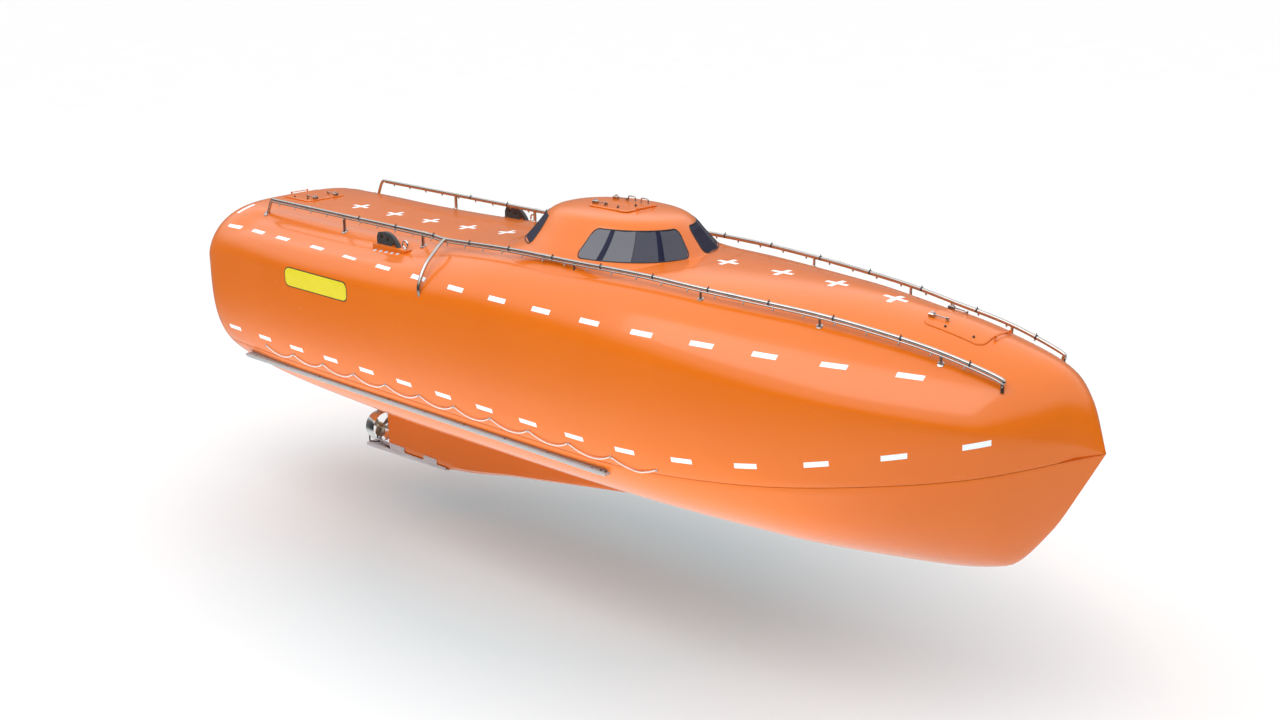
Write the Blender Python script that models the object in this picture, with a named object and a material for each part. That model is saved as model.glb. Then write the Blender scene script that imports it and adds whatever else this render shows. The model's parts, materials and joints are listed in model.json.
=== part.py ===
"""Enclosed free-fall lifeboat, built as separate sub-parts in metres.

+X is the bow, +Y is port, +Z is up. The origin lies on the centreline at the
design waterline, about amidships. The hull is drawn from a short table of
stations: each section is one superelliptic arc from the keel to the widest
line and a second one from there to the deck's crown.
"""
import math

import bmesh
import bpy
from mathutils import Matrix, Vector
from mathutils.bvhtree import BVHTree

GAP = 0.0003                    # clearance where one piece meets another
WALL = 0.06                     # outer skin, foam and liner together

# Hull stations. x, keel: place of the section and height of its lowest point.
# wide: height of the widest line. deck: height of the crown. half: half beam.
# low_p, low_q, top_p, top_q: how square each arc is (2 is an ellipse).
STATIONS = (
    # x,    keel,  wide, deck, half, low_p, low_q, top_p, top_q
    (-7.00, -0.12, 1.36, 1.88, 1.12, 3.4, 2.8, 2.0, 3.6),
    (-6.93, -0.21, 1.40, 2.06, 1.42, 3.5, 2.8, 1.8, 3.8),
    (-6.60, -0.36, 1.47, 2.16, 1.69, 3.6, 2.7, 1.6, 3.6),
    (-6.00, -0.50, 1.54, 2.16, 1.72, 3.5, 2.6, 1.6, 3.6),
    (-4.50, -0.67, 1.56, 2.15, 1.78, 3.2, 2.2, 1.5, 3.7),
    (-2.50, -0.74, 1.59, 2.19, 1.79, 3.0, 2.15, 1.6, 3.8),
    (-0.50, -0.72, 1.60, 2.36, 1.81, 2.9, 2.15, 1.9, 3.5),
    (1.50, -0.70, 1.58, 2.43, 1.79, 3.0, 2.0, 1.85, 2.85),
    (3.50, -0.66, 1.53, 2.45, 1.62, 3.0, 1.7, 1.5, 2.1),
    (5.00, -0.55, 1.50, 2.36, 1.30, 2.5, 1.45, 1.35, 1.75),
    (6.00, -0.33, 1.46, 2.18, 0.97, 1.9, 1.3, 1.4, 1.8),
    (6.50, 0.23, 1.40, 2.03, 0.56, 1.6, 1.2, 1.7, 1.9),
    (6.80, 0.78, 1.32, 1.77, 0.21, 1.3, 1.1, 2.0, 2.0),
    (7.03, 1.23, 1.23, 1.23, 0.00, 1.3, 1.1, 2.0, 2.0),
)
STERN = STATIONS[0][0]
BOW = STATIONS[-1][0]
SEAM_AFT = 0.13                 # height of the joint between hull and canopy
SEAM_RISE = 1.10                # how far it climbs towards the stem
SEAM_START = 1.0                # where it starts to climb
SEAM_POWER = 1.7
WALK_AFT, WALK_FORE = -6.5, -1.6        # walkway along each side of the after deck
WALK_INNER, WALK_OUTER = 0.98, 1.62
WALK_DEPTH = 0.06

LOOM = 30                       # sections along the boat
ROWS_LOW = 8                    # keel to seam, one side
ROWS_SIDE = 3                   # seam to widest line
ROWS_TOP = 9                    # widest line to crown
INNER_BOW = 6.30                # inner face of the collision bulkhead

# The two mouldings in sections, each with the place where it ends forward
HULL_SECTIONS = (("hull_stern", -6.72), ("hull_aft", -4.0), ("hull_after_middle", -0.4),
                 ("hull_fore_middle", 2.4), ("hull_fore", 4.6), ("hull_bow", BOW + 1))
CANOPY_SECTIONS = (("canopy_stern", -6.72), ("canopy_aft", -4.9), ("canopy_after_middle", -1.6),
                   ("canopy_middle", 2.6), ("canopy_fore", 4.6), ("canopy_bow", BOW + 1))

# Cupola rings: height, half length, half width.
CUPOLA_X = 0.26
CUPOLA_POWER = 2.2
CUPOLA_WALL = 0.045
CUPOLA_SIDES = 36
ROOF_FROM = 2.7                 # rings above this height belong to the roof
TRUNK_X, TRUNK_HALF_LENGTH, TRUNK_HALF_WIDTH = 0.18, 0.92, 0.66      # opening under the cupola
CUPOLA_RINGS = (
    (1.90, 1.60, 1.26),
    (2.24, 1.60, 1.26),
    (2.30, 1.43, 1.15),
    (2.36, 1.31, 1.07),
    (2.42, 1.25, 1.03),
    (2.60, 1.13, 0.92),
    (2.76, 1.01, 0.81),
    (2.84, 0.88, 0.69),
    (2.88, 0.66, 0.50),
    (2.895, 0.42, 0.31),
)
PANE_GAP = 0.0010                # clearance of a pane in its opening
SILL, HEAD = 2.435, 2.755       # window height range on the cone
# Cone angles from the centreline: of a window's inner end, and of its outer end at sill and at head.
WINDOW_FRONT = math.radians(6)
FORE_SIDE = (math.radians(82), math.radians(77))
AFT_SIDE = (math.radians(53), math.radians(44))
PANE_COLUMNS, PANE_ROWS = 10, 3
PANE_CORNER, PANE_TUCK = 0.10, 0.16      # share of the width and height that a corner takes off
PANE_OUT, PANE_IN = 0.006, 0.012         # how far a pane stands out of the cone and into it
OPENING_OUT, OPENING_IN = 0.02, 0.06     # the same for the cutter of its opening
WINDOWS = (
    # name, mirror along x, mirror along y, outer end
    ("window_fore_starboard", 1, -1, FORE_SIDE),
    ("window_fore_port", 1, 1, FORE_SIDE),
    ("window_aft_starboard", -1, -1, AFT_SIDE),
    ("window_aft_port", -1, 1, AFT_SIDE),
)

# Deck hatches: name, x from, x to, half width, hinge end (+1 fore, -1 aft)
HATCHES = (
    ("fore_hatch", 4.95, 5.72, 0.34, 1),
    ("aft_hatch", -6.62, -5.94, 0.36, -1),
)
HATCH_RISE = 0.025
HATCH_CORNER = 0.09
HATCH_LAP = 0.04                # how far a hatch laps over its opening
HATCH_SKIRT = 0.04              # how deep a hatch reaches before the deck cuts it
HINGE_PIN = 0.008
HINGE_HALF = 0.16               # half length of a hinge pin
HINGE_OFF = 0.035               # from a panel's edge to its hinge pin
HINGE_LIFT = 0.03               # of the pin over the deck or the roof
LATCH_IN = 0.055                # from a panel's free edge to its latches
LATCH_OFF = 0.19                # of the deck latches from the centreline

# Top hatch on the cupola's roof
TOP_HALF_LENGTH, TOP_HALF_WIDTH, TOP_THICK = 0.35, 0.31, 0.03
TOP_HOLE_LENGTH, TOP_HOLE_WIDTH = 0.28, 0.22
GRAB_LOOP_Y, GRAB_LOOP_HALF, GRAB_LOOP_RISE, GRAB_LOOP_BAR = 0.22, 0.06, 0.065, 0.009

DOOR_SILL, DOOR_HEAD, DOOR_HALF = 0.55, 1.62, 0.34
DOOR_LAP, DOOR_THICK = 0.03, 0.045

# Steering nozzle and propeller
PROP_X, PROP_Z = -4.90, -1.26
NOZZLE_OUTER, NOZZLE_INNER, NOZZLE_LENGTH = 0.235, 0.205, 0.20
PROP_RADIUS, HUB_RADIUS, SHAFT_RADIUS = 0.180, 0.045, 0.025
SKEG_AFT = -4.62
SKEG_THICK = 0.15
SHAFT_LONG = 0.30               # how far the shaft runs into the skeg
SHOE_TOP, SHOE_BOTTOM, SHOE_THICK = -1.555, -1.63, 0.18
STOCK_RADIUS = 0.03
PINTLE_RADIUS = 0.022
BEARING_BOTTOM = -0.86
BEARING_RADIUS = 0.06
STOCK_IN = 0.08                 # how far the stock runs up into its bearing
RUNNING = 0.0006                # radial clearance of a turning shaft
# Propeller blade: share of the radius, chord, pitch angle from the disc
BLADE_SECTIONS = ((0.18, 0.10, 58), (0.45, 0.15, 40), (0.75, 0.165, 29), (0.93, 0.12, 24), (1.0, 0.05, 22))
BLADE_CHORD = (-0.5, -0.25, 0.0, 0.25, 0.5)
BLADE_ROOT, BLADE_THINNING, BLADE_EDGE = 0.012, 0.006, 0.003
BLADES = 3
BLADE_TURN = 0.35               # how far the first blade is turned from port
SKEG_OUTLINE_FORE = ((-3.36, None), (-1.77, -1.31), (-0.19, -1.06), (2.30, -0.68), (2.30, -0.3))
SHOE_AFT, SHOE_FORE, SHOE_TIP = -5.16, -3.30, -3.24
CHEEK_THICK, CHEEK_OFF, CHEEK_TAB, CHEEK_EDGE = 0.012, 0.0065, 0.10, 0.02
CHEEK_TABS = ((-4.60, -4.25), (-3.80, -3.50))
OUTLET = ((-5.05, 0.16, -0.50), (-5.20, 0.16, -0.72), (-5.42, 0.16, -0.74))
OUTLET_RADIUS = 0.045

RAIL_RADIUS = 0.027
RAIL_TOP = 2.31                 # straight after part of the handrail
RAIL_HALF = 1.04
RAIL_STANDOFF = 0.13            # fore part, above the deck
RAIL_JOINT = -2.40              # where the after pipe meets the fore pipe
RAIL_AFT = ((-6.04, -0.29), (-5.93, -0.06), (-5.88, 0.0))      # bent end: x, height from RAIL_TOP
AFT_POSTS = (-4.16, -2.45)
POST_AFT_RADIUS, POST_FORE_RADIUS = 0.022, 0.016
# Branch that runs down the side: x, distance off, height from RAIL_TOP
BRANCH = ((-1.95, 1.085, 0.0), (-1.80, 1.35, -0.06), (-1.73, 1.62, -0.24), (-1.70, 1.76, -0.46),
          (-1.70, 1.74, -0.62))
# Fore part of the handrail in plan: x, distance off the centreline
RAIL_PLAN = ((-1.90, 1.08), (-0.60, 1.17), (0.55, 1.18), (1.60, 1.13), (2.48, 1.08),
             (3.28, 0.99), (4.02, 0.89), (4.73, 0.79), (5.46, 0.72), (6.10, 0.64))


# Lifting lugs, launch rails, lifeline and what is inside
LUG_OFF, LUG_THICK = 1.19, 0.05
LUG_AFT, LUG_FORE = -3.22, -2.72
LUG_HOLES = ((0.11, 0.16), (0.24, 0.135), (0.36, 0.075))
LUG_HOLE_RADIUS = 0.034
LUG_FOOT = 0.014                # thickness of the foot over the deck's highest point
LUG_FOOT_LONG = 0.15            # how far the foot runs forward of the plate
LUG_FOOT_HALF = 0.07
EYE_RADIUS, EYE_BAR = 0.05, 0.014
SLIDE_AFT, SLIDE_FORE, SLIDE_OUT = -6.12, 1.38, 1.56
SLIDE_BOTTOM, SLIDE_TOP = -0.055, 0.045
GRAB_AFT, GRAB_PITCH, GRAB_LOOPS, GRAB_STEPS = -5.44, 0.70, 11, 5
GRAB_TOP, GRAB_SAG, GRAB_RADIUS = 0.28, 0.10, 0.009
GRAB_LIFT = 0.012               # how far a loop's middle stands off the side
HOOK_Z, HOOK_REACH, HOOK_RADIUS, HOOK_HOLE = 0.14, 0.09, 0.08, 0.035
HOOK_THICK = 0.05
SOLE_AFT, SOLE_FORE, SOLE_TOP, SOLE_THICK = -6.5, 5.2, -0.12, 0.04
ENGINE = ((-4.55, -0.34, -0.42), (-3.45, 0.34, 0.33))
ENGINE_ROOM = 0.03              # gap round the engine in the sole
SEAT_HEIGHT = 1.25

def clear_scene():
    for ob in list(bpy.data.objects):
        bpy.data.objects.remove(ob, do_unlink=True)


def new_collection(name):
    coll = bpy.data.collections.new(name)
    bpy.context.scene.collection.children.link(coll)
    return coll


def material(name, color, roughness, metallic=0.0, alpha=1.0):
    mat = bpy.data.materials.new(name)
    mat.use_nodes = True
    shader = mat.node_tree.nodes["Principled BSDF"]
    shader.inputs["Base Color"].default_value = (*color, 1.0)
    shader.inputs["Roughness"].default_value = roughness
    shader.inputs["Metallic"].default_value = metallic
    shader.inputs["Alpha"].default_value = alpha
    return mat


# The hull's form

def monotone(xs, ys, x):
    """Smooth curve through the table's points with no overshoot."""
    count = len(xs)
    step = [xs[i + 1] - xs[i] for i in range(count - 1)]
    slope = [(ys[i + 1] - ys[i]) / step[i] for i in range(count - 1)]
    tangent = [slope[0]] + [0.0] * (count - 2) + [slope[-1]]
    for i in range(1, count - 1):
        if slope[i - 1] * slope[i] > 0:
            w1 = 2 * step[i] + step[i - 1]
            w2 = step[i] + 2 * step[i - 1]
            tangent[i] = (w1 + w2) / (w1 / slope[i - 1] + w2 / slope[i])
    i = 0
    while i < count - 2 and x > xs[i + 1]:
        i += 1
    t = (x - xs[i]) / step[i]
    return (ys[i] * (2 * t ** 3 - 3 * t ** 2 + 1)
            + step[i] * tangent[i] * (t ** 3 - 2 * t ** 2 + t)
            + ys[i + 1] * (3 * t ** 2 - 2 * t ** 3)
            + step[i] * tangent[i + 1] * (t ** 3 - t ** 2))


STATION_X = [row[0] for row in STATIONS]


def station(x, inset=0.0):
    """keel, wide, deck, half and the four exponents at x, drawn in by inset."""
    x = min(max(x, STERN), BOW)
    row = [monotone(STATION_X, [r[k] for r in STATIONS], x) for k in range(1, 9)]
    row[0] += inset
    row[2] -= inset
    row[3] -= inset
    return row


def seam_height(x):
    run = max(x - SEAM_START, 0.0) / (BOW - SEAM_START)
    return SEAM_AFT + SEAM_RISE * run ** SEAM_POWER


def low_point(form, angle):
    keel, wide, _, half, low_p, low_q = form[:6]
    y = half * math.sin(angle) ** (2 / low_q)
    z = wide - (wide - keel) * max(math.cos(angle), 0.0) ** (2 / low_p)
    return y, z


def top_point(form, angle):
    wide, deck, half, top_p, top_q = form[1], form[2], form[3], form[6], form[7]
    y = half * max(math.cos(angle), 0.0) ** (2 / top_q)
    z = wide + (deck - wide) * math.sin(angle) ** (2 / top_p)
    return y, z


def low_angle(form, z):
    """Angle on the lower arc where it reaches height z."""
    keel, wide, low_p = form[0], form[1], form[4]
    if wide - keel < 1e-6:
        return math.pi / 2
    share = min(max((wide - z) / (wide - keel), 0.0), 1.0)
    return math.acos(share ** (low_p / 2))


def ease(t):
    t = min(max(t, 0.0), 1.0)
    return t * t * (3 - 2 * t)


def walkway(x, y):
    """Depth of the side walkway that is let into the after deck."""
    along = ease((x - WALK_AFT) / 0.5) * ease((WALK_FORE - x) / 0.7)
    across = ease((abs(y) - WALK_INNER) / 0.16) * ease((WALK_OUTER - abs(y)) / 0.25)
    return WALK_DEPTH * along * across


def deck_height(x, y):
    """Height of the outer surface above the widest line."""
    form = station(x)
    wide, deck, half, top_p, top_q = form[1], form[2], form[3], form[6], form[7]
    share = min(abs(y) / half, 1.0)
    cos_a = share ** (top_q / 2)
    return wide + (deck - wide) * math.sqrt(1 - cos_a ** 2) ** (2 / top_p) - walkway(x, y)


def half_section(x, inset, part):
    """Points (y, z) of one half section, from the keel side upwards."""
    form = station(x, inset)
    seam = low_angle(form, seam_height(x) + (GAP / 2 if part == "canopy" else -GAP / 2))
    points = []
    if part in ("hull", "whole"):
        for i in range(ROWS_LOW + 1):
            points.append(low_point(form, seam * i / ROWS_LOW))
    if part in ("canopy", "whole"):
        first = 1 if part == "whole" else 0
        for i in range(first, ROWS_SIDE + 1):
            points.append(low_point(form, seam + (math.pi / 2 - seam) * i / ROWS_SIDE))
        for i in range(1, ROWS_TOP + 1):
            y, z = top_point(form, math.pi / 2 * i / ROWS_TOP)
            points.append((y, z - walkway(x, y)))
    return points


def loom_x(i, first, last):
    """Section i of the loft: closer together near both ends."""
    t = i / LOOM
    eased = 0.45 * t + 0.55 * (1 - math.cos(math.pi * t)) / 2
    return first + (last - first) * eased


def section_grid(bm, first, last, inset, part):
    """Rows of vertices from starboard round to port, one row per section."""
    grid = []
    for i in range(LOOM + 1):
        x = loom_x(i, first, last)
        half = half_section(x, inset, part)
        if part == "hull":
            half = half[::-1]
        # starboard runs from the seam to the centreline, port runs back
        ring = [(x, -y, z) for y, z in half]
        ring += [(x, y, z) for y, z in half[-2::-1]]
        grid.append([bm.verts.new(p) for p in ring])
    return grid


def split_quad(bm, a0, a1, b1, b0):
    """Two triangles, with the diagonal chosen by height so that twins match."""
    if a0.co.z <= a1.co.z:
        bm.faces.new((a0, a1, b1))
        bm.faces.new((a0, b1, b0))
    else:
        bm.faces.new((a0, a1, b0))
        bm.faces.new((a1, b1, b0))


def skin(bm, grid, closed=False):
    """Triangles between neighbouring rows; closed rows join end to start."""
    for a, b in zip(grid[:-1], grid[1:]):
        for k in range(len(a) if closed else len(a) - 1):
            n = (k + 1) % len(a)
            split_quad(bm, a[k], a[n], b[n], b[k])


def finish_mesh(bm, name, mat, coll):
    bmesh.ops.remove_doubles(bm, verts=bm.verts, dist=0.00005)
    bmesh.ops.dissolve_degenerate(bm, edges=bm.edges, dist=0.00005)
    bmesh.ops.recalc_face_normals(bm, faces=bm.faces)
    mesh = bpy.data.meshes.new(name)
    bm.to_mesh(mesh)
    bm.free()
    ob = bpy.data.objects.new(name, mesh)
    coll.objects.link(ob)
    if mat:
        mesh.materials.append(mat)
    return ob


def shell(name, part, mat, coll):
    """Half of the boat as a closed skin with an outer and an inner face."""
    bm = bmesh.new()
    outer = section_grid(bm, STERN, BOW, 0.0, part)
    inner = section_grid(bm, STERN + WALL, INNER_BOW, WALL, part)
    skin(bm, outer)
    skin(bm, inner)
    bm.faces.new(outer[0][::-1])
    bm.faces.new(inner[0])
    bm.faces.new(inner[-1][::-1])
    for a, b, c, d in zip(outer[:-1], outer[1:], inner[1:], inner[:-1]):
        for end in (0, -1):
            split_quad(bm, a[end], b[end], c[end], d[end])
    bm.faces.new((outer[0][0], outer[0][-1], inner[0][-1], inner[0][0]))
    bm.faces.new((outer[-1][0], outer[-1][-1], inner[-1][-1], inner[-1][0]))
    return finish_mesh(bm, name, mat, coll)


def split_sections(whole, sections, coll):
    """Cut a moulding across into its named sections, GAP apart."""
    low = STERN - 1
    for name, high in sections:
        section = whole.copy()
        section.data = whole.data.copy()
        section.name = section.data.name = name
        coll.objects.link(section)
        room = box("room", (low + GAP / 2, -3, -3), (high - GAP / 2, 3, 4), None, coll)
        boolean(section, room, "INTERSECT")
        low = high
    bpy.data.objects.remove(whole, do_unlink=True)


def filled_hull(name, inset, swell, coll):
    """The whole outer or inner form as one solid, moved out by swell."""
    bm = bmesh.new()
    first = STERN if inset == 0 else STERN + inset
    last = BOW if inset == 0 else INNER_BOW
    grid = []
    for i in range(LOOM + 1):
        x = loom_x(i, first, last)
        half = half_section(x, inset, "whole")
        ring = [(x, -y, z) for y, z in half]
        ring += [(x, y, z) for y, z in half[-2:0:-1]]
        grid.append([bm.verts.new(p) for p in ring])
    skin(bm, grid, closed=True)
    bm.faces.new(grid[0])
    bm.faces.new(grid[-1])
    bmesh.ops.remove_doubles(bm, verts=bm.verts, dist=0.00005)
    bmesh.ops.dissolve_degenerate(bm, edges=bm.edges, dist=0.00005)
    bmesh.ops.recalc_face_normals(bm, faces=bm.faces)
    bm.normal_update()
    shift = [(v, v.co + v.normal * swell) for v in bm.verts]
    for v, co in shift:
        v.co = co
    mesh = bpy.data.meshes.new(name)
    bm.to_mesh(mesh)
    bm.free()
    ob = bpy.data.objects.new(name, mesh)
    coll.objects.link(ob)
    ob.hide_render = True
    ob.display_type = "WIRE"
    return ob


# Small shapes

def from_bmesh(name, bm, mat, coll):
    mesh = bpy.data.meshes.new(name)
    bm.to_mesh(mesh)
    bm.free()
    ob = bpy.data.objects.new(name, mesh)
    coll.objects.link(ob)
    if mat:
        mesh.materials.append(mat)
    return ob


def box(name, low, high, mat, coll, bevel=0.0):
    bm = bmesh.new()
    bmesh.ops.create_cube(bm, size=1.0)
    size = [h - l for l, h in zip(low, high)]
    middle = [(h + l) / 2 for l, h in zip(low, high)]
    bmesh.ops.scale(bm, vec=size, verts=bm.verts)
    bmesh.ops.translate(bm, vec=middle, verts=bm.verts)
    if bevel:
        bmesh.ops.bevel(bm, geom=bm.edges[:], offset=bevel, segments=2, affect="EDGES",
                        profile=0.5)
    return from_bmesh(name, bm, mat, coll)


def rod(name, start, end, radius, mat, coll, sides=16, radius_end=None):
    """Cylinder or cone from start to end."""
    start, end = Vector(start), Vector(end)
    bm = bmesh.new()
    bmesh.ops.create_cone(bm, cap_ends=True, segments=sides, radius1=radius,
                          radius2=radius if radius_end is None else radius_end,
                          depth=(end - start).length)
    turn = Vector((0, 0, 1)).rotation_difference(end - start).to_matrix().to_4x4()
    bmesh.ops.transform(bm, matrix=Matrix.Translation((start + end) / 2) @ turn, verts=bm.verts)
    return from_bmesh(name, bm, mat, coll)


def plate(name, outline, thickness, middle_y, mat, coll, bevel=0.0):
    """Flat outline in the XZ plane, thickened along Y."""
    curve = bpy.data.curves.new(name, "CURVE")
    curve.dimensions = "2D"
    curve.fill_mode = "BOTH"
    curve.extrude = thickness / 2
    loops = outline if isinstance(outline[0][0], (tuple, list)) else [outline]
    for loop in loops:
        spline = curve.splines.new("POLY")
        spline.points.add(len(loop) - 1)
        for point, (x, z) in zip(spline.points, loop):
            point.co = (x, z, 0, 1)
        spline.use_cyclic_u = True
    holder = bpy.data.objects.new(name, curve)
    coll.objects.link(holder)
    mesh = bpy.data.meshes.new_from_object(holder)
    bpy.data.objects.remove(holder, do_unlink=True)
    bpy.data.curves.remove(curve)
    bm = bmesh.new()
    bm.from_mesh(mesh)
    bpy.data.meshes.remove(mesh)
    bmesh.ops.remove_doubles(bm, verts=bm.verts, dist=0.00005)
    bmesh.ops.dissolve_limit(bm, angle_limit=0.01, verts=bm.verts, edges=bm.edges)
    bmesh.ops.rotate(bm, matrix=Matrix.Rotation(math.pi / 2, 3, "X"), verts=bm.verts)
    bmesh.ops.translate(bm, vec=(0, middle_y, 0), verts=bm.verts)
    if bevel:
        edges = [e for e in bm.edges if e.calc_face_angle(0) > 0.6]
        bmesh.ops.bevel(bm, geom=edges, offset=bevel, segments=2, affect="EDGES", profile=0.5)
    bmesh.ops.recalc_face_normals(bm, faces=bm.faces)
    return from_bmesh(name, bm, mat, coll)


def tube(name, points, radius, mat, coll, sides=2):
    """Round bar along a list of points, as a mesh."""
    curve = bpy.data.curves.new(name, "CURVE")
    curve.dimensions = "3D"
    curve.bevel_depth = radius
    curve.bevel_resolution = sides
    curve.use_fill_caps = True
    curve.resolution_u = 1
    spline = curve.splines.new("POLY")
    spline.points.add(len(points) - 1)
    for point, co in zip(spline.points, points):
        point.co = (*co, 1)
    holder = bpy.data.objects.new(name, curve)
    coll.objects.link(holder)
    mesh = bpy.data.meshes.new_from_object(holder)
    bpy.data.objects.remove(holder, do_unlink=True)
    bpy.data.curves.remove(curve)
    bm = bmesh.new()
    bm.from_mesh(mesh)
    bpy.data.meshes.remove(mesh)
    bmesh.ops.remove_doubles(bm, verts=bm.verts, dist=0.00005)
    bmesh.ops.recalc_face_normals(bm, faces=bm.faces)
    return from_bmesh(name, bm, mat, coll)


def arc(center, radius, first, last, steps):
    """Points of an arc in a plane, in degrees."""
    out = []
    for i in range(steps + 1):
        t = math.radians(first + (last - first) * i / steps)
        out.append((center[0] + radius * math.cos(t), center[1] + radius * math.sin(t)))
    return out


def boolean(ob, tool, operation, keep=False):
    """Apply one exact Boolean and drop the tool unless it is kept."""
    mod = ob.modifiers.new("cut", "BOOLEAN")
    mod.operation = operation
    mod.solver = "EXACT"
    mod.object = tool
    graph = bpy.context.evaluated_depsgraph_get()
    mesh = bpy.data.meshes.new_from_object(ob.evaluated_get(graph))
    ob.modifiers.clear()
    old = ob.data
    ob.data = mesh
    bpy.data.meshes.remove(old)
    if not keep:
        bpy.data.objects.remove(tool, do_unlink=True)
    bm = bmesh.new()
    bm.from_mesh(ob.data)
    bmesh.ops.remove_doubles(bm, verts=bm.verts, dist=0.00002)
    bmesh.ops.dissolve_degenerate(bm, edges=bm.edges, dist=0.00002)
    bm.to_mesh(ob.data)
    bm.free()
    return ob


def join_solids(ob, others):
    for other in others:
        boolean(ob, other, "UNION")
    return ob


def mirrored(ob, name, mat):
    """Port copy of a starboard piece."""
    bm = bmesh.new()
    bm.from_mesh(ob.data)
    bmesh.ops.scale(bm, vec=(1, -1, 1), verts=bm.verts)
    bmesh.ops.reverse_faces(bm, faces=bm.faces)
    return from_bmesh(name, bm, mat, ob.users_collection[0])


def set_origin(ob, place):
    """Move the object's origin to place and leave its shape where it is."""
    ob.data.transform(Matrix.Translation(-Vector(place)))
    ob.location = place


# Cupola and windows

def cupola_point(angle, height, offset=0.0):
    """Point of the cupola's outer face at an angle from the bow, moved out."""
    rows = CUPOLA_RINGS
    heights = [r[0] for r in rows]
    i = 0
    while i < len(rows) - 2 and height > heights[i + 1]:
        i += 1
    t = (height - heights[i]) / (heights[i + 1] - heights[i])
    length = rows[i][1] + (rows[i + 1][1] - rows[i][1]) * t + offset
    width = rows[i][2] + (rows[i + 1][2] - rows[i][2]) * t + offset
    c, s = math.cos(angle), math.sin(angle)
    x = CUPOLA_X + length * math.copysign(abs(c) ** (2 / CUPOLA_POWER), c)
    y = width * math.copysign(abs(s) ** (2 / CUPOLA_POWER), s)
    return x, y, height


def window_solid(name, mirror_x, mirror_y, side, out, deep, trim, mat, coll):
    """Curved pane, or its cutter, between two offsets of the cone."""
    bm = bmesh.new()
    layers = []
    for offset in (out, -deep):
        grid = []
        for i in range(PANE_COLUMNS + 1):
            u = i / PANE_COLUMNS
            edge = min(u, 1 - u)
            tuck = PANE_TUCK * max(0.0, 1 - edge / PANE_CORNER) ** 2
            column = []
            for j in range(PANE_ROWS + 1):
                v = tuck + (1 - 2 * tuck) * j / PANE_ROWS
                first = WINDOW_FRONT + trim
                last = side[0] + (side[1] - side[0]) * v - trim
                z = SILL + trim + (HEAD - SILL - 2 * trim) * v
                x, y, z = cupola_point(first + (last - first) * u, z, offset)
                x = CUPOLA_X + (x - CUPOLA_X) * mirror_x
                column.append(bm.verts.new((x, y * mirror_y, z)))
            grid.append(column)
        layers.append(grid)
    front, back = layers
    skin(bm, front)
    skin(bm, back)
    for i in range(PANE_COLUMNS):
        for j in (0, PANE_ROWS):
            bm.faces.new((front[i][j], front[i + 1][j], back[i + 1][j], back[i][j]))
    for j in range(PANE_ROWS):
        for i in (0, PANE_COLUMNS):
            bm.faces.new((front[i][j], front[i][j + 1], back[i][j + 1], back[i][j]))
    return finish_mesh(bm, name, mat, coll)


def build_cupola(mats, coll, tools, envelope):
    bm = bmesh.new()
    layers = []
    for wall in (0.0, CUPOLA_WALL):
        grid = []
        for height, _, _ in CUPOLA_RINGS:
            ring = []
            for k in range(CUPOLA_SIDES):
                angle = 2 * math.pi * k / CUPOLA_SIDES
                x, y, z = cupola_point(angle, height, -wall)
                drop = wall if height > ROOF_FROM else 0.0
                ring.append(bm.verts.new((x, y, z - drop)))
            grid.append(ring)
        layers.append(grid)
    for grid in layers:
        skin(bm, grid, closed=True)
        bm.faces.new(grid[-1])
    for k in range(CUPOLA_SIDES):
        n = (k + 1) % CUPOLA_SIDES
        bm.faces.new((layers[0][0][k], layers[0][0][n], layers[1][0][n], layers[1][0][k]))
    cupola = finish_mesh(bm, "cupola", mats["orange"], coll)
    boolean(cupola, envelope, "DIFFERENCE", keep=True)
    for name, mirror_x, mirror_y, side in WINDOWS:
        cutter = window_solid("cut_" + name, mirror_x, mirror_y, side, OPENING_OUT, OPENING_IN, 0.0,
                              None, tools)
        boolean(cupola, cutter, "DIFFERENCE")
        window_solid(name, mirror_x, mirror_y, side, PANE_OUT, PANE_IN, PANE_GAP, mats["glass"], coll)
    return cupola


# Hatches and the stern door

def deck_patch(name, x0, x1, half, low, high, corner, mat, coll):
    """Plate that follows the deck, with its corners cut off."""
    places = [x0, x0 + corner, x0 + (x1 - x0) * 0.35, x0 + (x1 - x0) * 0.65, x1 - corner, x1]
    across = 6
    bm = bmesh.new()
    layers = []
    for rise in (high, low):
        grid = []
        for x in places:
            width = half - corner if x in (x0, x1) else half
            row = []
            for j in range(across + 1):
                y = -width + 2 * width * j / across
                row.append(bm.verts.new((x, y, deck_height(x, y) + rise)))
            grid.append(row)
        layers.append(grid)
    top, bottom = layers
    skin(bm, top)
    skin(bm, bottom)
    for i in range(len(places) - 1):
        for j in (0, across):
            bm.faces.new((top[i][j], top[i + 1][j], bottom[i + 1][j], bottom[i][j]))
    for j in range(across):
        for i in (0, -1):
            bm.faces.new((top[i][j], top[i][j + 1], bottom[i][j + 1], bottom[i][j]))
    return finish_mesh(bm, name, mat, coll)


def slab(name, outline, low, high, mat, coll, bevel=0.0):
    """Flat outline in the XY plane between two heights."""
    bm = bmesh.new()
    ring = [bm.verts.new((x, y, low)) for x, y in outline]
    face = bm.faces.new(ring)
    out = bmesh.ops.extrude_face_region(bm, geom=[face])
    moved = [g for g in out["geom"] if isinstance(g, bmesh.types.BMVert)]
    bmesh.ops.translate(bm, vec=(0, 0, high - low), verts=moved)
    bmesh.ops.recalc_face_normals(bm, faces=bm.faces)
    if bevel:
        edges = [e for e in bm.edges if e.calc_face_angle(0) > 0.6]
        bmesh.ops.bevel(bm, geom=edges, offset=bevel, segments=1, affect="EDGES")
    return from_bmesh(name, bm, mat, coll)


def chamfered(x0, x1, half, corner):
    return [(x0 + corner, -half), (x1 - corner, -half), (x1, -half + corner), (x1, half - corner),
            (x1 - corner, half), (x0 + corner, half), (x0, half - corner), (x0, -half + corner)]


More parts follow.
